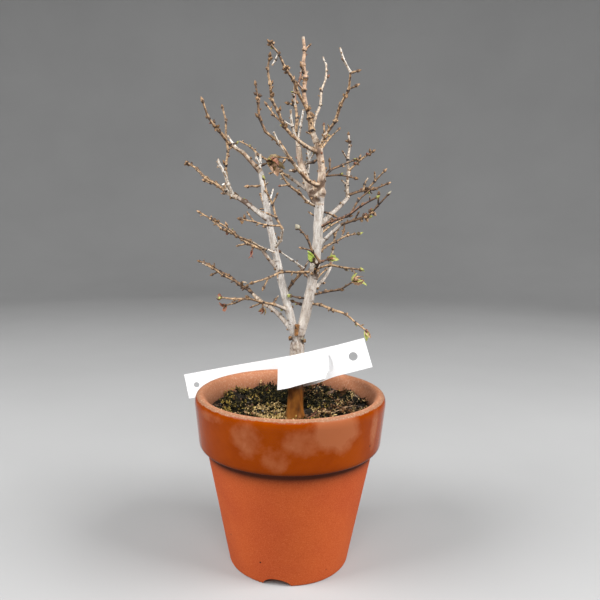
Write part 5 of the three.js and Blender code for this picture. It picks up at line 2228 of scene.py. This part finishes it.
# %% [markdown]
# ### Dry strands
# Dry rootlets and grass lie on the moss, mostly at the right, and some of them arch. Bevelled curves
# would do. The tube that made the twigs serves again, along a line that follows the moss.

# %% Dry strands
litter = Pile()
STRANDS = 45
LITTER_TONES = ["tan", "tan", "brown"]
ARCHING_STRAWS = [
    # from x and y, to x and y, lift in the middle, width, tone
    (42, 15, 33, 33, 3.5, 0.6, 1),
    (44, 8, 40, 22, 2.6, 0.5, 1),
    (36, 20, 44, 12, 3.0, 0.5, 0),
    (38, 4, 44, 14, 2.4, 0.45, 1),
    (34, 26, 42, 19, 2.2, 0.45, 0),
    (19, -12, 32, -8, 1.2, 0.9, 0),
    (24, 12, 38, 20, 1.8, 0.5, 1),
    (30, -4, 40, 4, 1.8, 0.5, 1),
    (10, -12, 19, -7, 1.3, 1.3, 2),
]


def add_strand_along(points, width, tone):
    shape, faces, _ = tube(GrowthLine(points), lambda share: width / 2 * (1 - 0.6 * share), 6, 0.8)
    litter.add(shape, faces, tone)


def add_strand(x, y, length, width, tone):
    """A dry rootlet or grass blade lying loosely on the moss."""
    heading = scatter.uniform(0, 2 * math.pi)
    points = []
    for step in range(5):
        points.append((x, y, moss_top(x, y)[0] + 0.6 + 0.9 * math.sin(step * 0.8)))
        heading += scatter.normal(0, 0.5)
        x = x + math.cos(heading) * length / 4
        y = y + math.sin(heading) * length / 4
        if math.hypot(x, y) > SOIL_EDGE:
            return
    add_strand_along(points, width, tone)


def add_straw(from_x, from_y, to_x, to_y, lift, width, tone):
    points = []
    for share in np.linspace(0, 1, 6):
        x = from_x + (to_x - from_x) * share
        y = from_y + (to_y - from_y) * share
        points.append((x, y, moss_top(x, y)[0] + lift * math.sin(math.pi * share) + 0.3))
    add_strand_along(points, width, tone)


for x, y in soil_spots(STRANDS):
    if x > 20 or scatter.uniform() < 0.15:
        add_strand(x, y, scatter.uniform(4, 11), scatter.uniform(0.3, 0.6), int(scatter.choice(3)))
for row in ARCHING_STRAWS:
    add_straw(*row)
litter_finishes = [twig_finishes[TONE_NUMBER[tone]] for tone in LITTER_TONES]
litter_piece = litter.piece("dry_strands", litter_finishes)

# %% [markdown]
# ### Old leaves
# A few leaves of last year lie curled on the moss. They could be new shapes, but a zelkova leaf is the
# same leaf young or old: the shape from the shoots is set down again, larger, browner and flatter.

# %% Old leaves
OLD_LEAF_LIFT = 1.2
OLD_LEAF_FOLD = 0.35
OLD_LEAF_CURL = 0.8
OLD_LEAVES = [
    # x, y, direction, length, roll, tone
    (28, 24, (0.9, -0.3, 0.15), 9, 0.4, "old"),
    (22, 27, (1, 0.2, 0.2), 7, 2.4, "old"),
    (9, -13, (1, 0.3, 0.15), 8, 1.2, "rust"),
    (38, -2, (-0.5, 0.8, 0.2), 6, 0.2, "dead"),
    (-18, 34, (0.7, -0.4, 0.3), 5, 1.0, "rust"),
]
leaves = Pile()
for x, y, direction, length, roll, tone in OLD_LEAVES:
    foot = np.array((x, y, moss_top(x, y)[0] + OLD_LEAF_LIFT))
    add_leaf(foot, direction, roll, length, length * 0.5, OLD_LEAF_FOLD, OLD_LEAF_CURL, tone)
old_leaf_piece = leaves.piece("old_leaves", leaf_finishes)

# %% [markdown]
# ## The label
# A strip of white plastic is looped round the trunk: its narrow waist runs through a slot in its own broad
# end, and its tail goes away over the rear of the rim. A cloth simulation could bend it, but hardly
# through itself. So it stands upright on a line of given points, which is the solid's own.

# %% Label line
LABEL_WIDTH = 17
LABEL_THICKNESS = 0.5
LABEL_STEPS = 9
LABEL_ROWS = 8
LABEL_WAIST = 10.6
WAIST_HALF = 1.2
WAIST_END = 2.6
# the middle of the strip: x, y and height
LABEL_LINE = GrowthLine(rows_of("""
43 -13 126
32 -11.5 122.5
21 -10 119
12 -7.6 114.8
3.2 -5.6 112
-4 -8.2 111.8
-6.8 -13.5 112.8
-6.3 -18.7 114.6
-2 -21.8 116.3
6 -21 118.2
14 -16.6 119
21 -9.8 119
26.2 -2.2 118.4
29.6 8 116.6
31.6 19.5 114.4
32.2 30 112.3
30.6 39.8 110.4
24.8 51.2 106.6
9.2 58.9 100.9
-10 60.6 96.7
-40 60.6 91
-71 60 85
"""))
LABEL_STATIONS = len(LABEL_LINE.points) - 1
BIG_HOLE_STATION = 0.75
SLOT_STATION = 2
BROAD_END = 5
WAIST_STATION = 11
SMALL_HOLE_STATION = 20.78


def label_frame(station):
    """The strip's middle, and its directions along, up and out, at a station of its line."""
    raw = station / LABEL_STATIONS
    at = LABEL_LINE.spots([raw])[0]
    ahead = LABEL_LINE.spots([min(1, raw + 1e-4)])[0] - LABEL_LINE.spots([max(0, raw - 1e-4)])[0]
    ahead /= np.linalg.norm(ahead)
    up = np.array((0, 0, 1)) - ahead * ahead[2]
    up /= np.linalg.norm(up)
    return at, ahead, up, np.cross(ahead, up)


def label_width(station):
    if station < BROAD_END:
        return LABEL_WIDTH
    away = np.linalg.norm(label_frame(station)[0] - label_frame(WAIST_STATION)[0])
    return LABEL_WAIST + smooth_step(away, WAIST_HALF, WAIST_END) * (LABEL_WIDTH - LABEL_WAIST)


print("label is", round(LABEL_LINE.length), "mm long")

# %% [markdown]
# ### Strip and cutters
# The label is half a millimetre thick and keeps its width, but for the waist. A plane with a Solidify
# modifier would do for a flat one. Rings swept along the line are used, because the strip bends and
# narrows at once, and blocks of the holes' outlines stand ready at their stations.

# %% Label parts
SLOT_HEIGHT = 11
SLOT_NEAR = 1.0
SLOT_BULGE = 3.6
BIG_HOLE = 5
SMALL_HOLE = 3.8
CUTTER_HALF = 3


def label_part(first, last, steps):
    """A closed strip between two stations: each ring goes up one face and down the other."""
    heights = np.linspace(-0.5, 0.5, LABEL_ROWS + 1)
    points = []
    stations = np.linspace(first, last, round((last - first) * steps) + 1)
    for station in stations:
        at, _, up, out = label_frame(station)
        width = label_width(station)
        for face, rows in ((0.5, heights), (-0.5, heights[::-1])):
            points += [at + up * row * width + out * face * LABEL_THICKNESS for row in rows]
    ring = 2 * (LABEL_ROWS + 1)
    faces = lattice_faces(len(stations), ring, True)
    end = (len(stations) - 1) * ring
    for start in (0, end):
        for row in range(LABEL_ROWS):
            corner = [start + row, start + row + 1, start + ring - 2 - row, start + ring - 1 - row]
            faces.append(corner[::-1] if start == 0 else corner)
    return plain_object("label_part", points, faces)


def label_cutter(outline, station):
    """An upright block of the given outline, standing through the strip at a station."""
    at, ahead, up, out = label_frame(station)
    depths = (-CUTTER_HALF, CUTTER_HALF)
    points = [at + ahead * x + up * y + out * depth for depth in depths for x, y in outline]
    return plain_object("label_cutter", points, capped_faces(2, len(outline)))


def circle(width, count=40):
    return [(width / 2 * math.cos(t), width / 2 * math.sin(t)) for t in even_turns(count)]


def slot_outline():
    """A slot with one straight side and one that bulges towards the strip's broad end."""
    half = SLOT_HEIGHT / 2
    turns = np.linspace(math.pi / 2, -math.pi / 2, 13)[1:-1]
    bulge = [(SLOT_NEAR - SLOT_BULGE * math.sqrt(math.cos(t)), half * math.sin(t)) for t in turns]
    return [(SLOT_NEAR, -half), (SLOT_NEAR, half), *bulge]


print("slot outline has", len(slot_outline()), "corners")

# %% [markdown]
# ### Cutting and welding the strip
# The strip is one piece of plastic that passes through itself. One Boolean on the whole would cut the
# waist where it runs through the slot. So the broad end is cut first, the rest is added, and the two
# are welded where they meet. The plastic is white with a soft gloss.

# %% Label strip
WELD = 0.002
ON_CUT = 1e-3


def label_mesh():
    """Both parts joined; the caps where they meet are taken out and the edges welded."""
    broad_cutters = [
        label_cutter(circle(BIG_HOLE), BIG_HOLE_STATION),
        label_cutter(slot_outline(), SLOT_STATION),
    ]
    broad = cut(label_part(0, BROAD_END, LABEL_STEPS), broad_cutters)
    rest_cutters = [label_cutter(circle(SMALL_HOLE), SMALL_HOLE_STATION)]
    rest = cut(label_part(BROAD_END, LABEL_STATIONS, 2 * LABEL_STEPS), rest_cutters)
    at, ahead, _, _ = label_frame(BROAD_END)
    joined = bmesh.new()
    joined.from_mesh(broad)
    joined.from_mesh(rest)
    caps = [
        face for face in joined.faces
        if all(abs((np.array(vert.co) / MM - at) @ ahead) < ON_CUT for vert in face.verts)
        and np.linalg.norm(np.array(face.calc_center_median()) / MM - at) < LABEL_WIDTH
    ]
    bmesh.ops.delete(joined, geom=caps, context="FACES")
    bmesh.ops.remove_doubles(joined, verts=joined.verts, dist=WELD * MM)
    strip = bpy.data.meshes.new("label_strip")
    joined.to_mesh(strip)
    joined.free()
    print("caps taken out", len(caps))
    return strip


def label_finish():
    plastic = Finish("white_plastic", 0.42)
    cloud = plastic.noise(14, 4)
    plastic.colour(plastic.ramp(cloud, (0.3, paint(244, 245, 246)), (0.7, paint(251, 252, 252))))
    plastic.gloss(plastic.ramp(plastic.noise(6, 5), (0.3, 0.36), (0.7, 0.5)))
    plastic.bump(plastic.noise(0.8, 4), 0.02, 0.3)
    return plastic.material


label_piece = dressed("label_strip", label_mesh(), [label_finish()], 35)
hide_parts("plant_label")

# %% [markdown]
# ## Floor
# The pot stands on a plain pale floor. A flat plane would show a hard far edge. A floor that curves up
# into a wall all round keeps the view calm from every side, and it is turned like the pot.

# %% Floor
FLOOR_FLAT = 1.3
FLOOR_CURVE = 0.9
WALL_TOP = 3.2


def studio_floor():
    bend = [
        (FLOOR_FLAT + FLOOR_CURVE * math.sin(a), FLOOR_CURVE * (1 - math.cos(a)))
        for a in np.linspace(0, math.pi / 2, 16)
    ]
    bowl = np.array([(0.02, 0), (0.4, 0), *bend, (FLOOR_FLAT + FLOOR_CURVE, WALL_TOP)]) / MM
    points, faces = turned(bowl, 96)
    mesh = bpy.data.meshes.new("floor")
    mesh.from_pydata(points * MM, [], [face[::-1] for face in faces[:-1]])
    mesh.polygons.foreach_set("use_smooth", [True] * len(mesh.polygons))
    pale = Finish("pale_floor", 0.85)
    pale.colour(pale.ramp(pale.noise(300, 3), (0.3, 0.33), (0.7, 0.355)))
    mesh.materials.append(pale.material)
    floor = placed("floor", mesh)


studio_floor()
print("floor", FLOOR_FLAT + FLOOR_CURVE, "m to its wall")

# %% [markdown]
# ### Lights
# Soft daylight comes from both sides, rather high, which leaves the front of the pot a little darker
# and puts a shadow under its collar. A sun lamp would throw hard shadows of every twig. Two broad area
# lights don't, a weaker one fills in from the front, and the surroundings add an even glow.

# %% Lights
LIGHTS = [
    # name, place, aim, width, height, watts
    ("window_right", (0.95, -0.35, 1.0), (0, 0, 0.13), 0.7, 0.7, 26),
    ("window_left", (-0.95, -0.35, 1.0), (0, 0, 0.13), 0.7, 0.7, 22),
    ("window_front", (0.0, -1.0, 0.95), (0, 0, 0.13), 0.8, 0.6, 10),
]
GLOW = 0.06


def add_light(name, place, aim, width, height, watts):
    data = bpy.data.lights.new(name, "AREA")
    data.shape = "RECTANGLE"
    data.size = width
    data.size_y = height
    data.energy = watts
    light = placed(name, data)
    light.location = place
    light.rotation_mode = "QUATERNION"
    light.rotation_quaternion = (Vector(aim) - Vector(place)).to_track_quat("-Z", "Y")


for row in LIGHTS:
    add_light(*row)
world = bpy.data.worlds.new("even_glow")
world.use_nodes = True
world.node_tree.nodes["Background"].inputs["Color"].default_value = (1.0, 1.0, 1.0, 1)
world.node_tree.nodes["Background"].inputs["Strength"].default_value = GLOW
bpy.context.scene.world = world
bpy.context.scene.view_settings.view_transform = "Standard"
print("lights", [row[0] for row in LIGHTS])
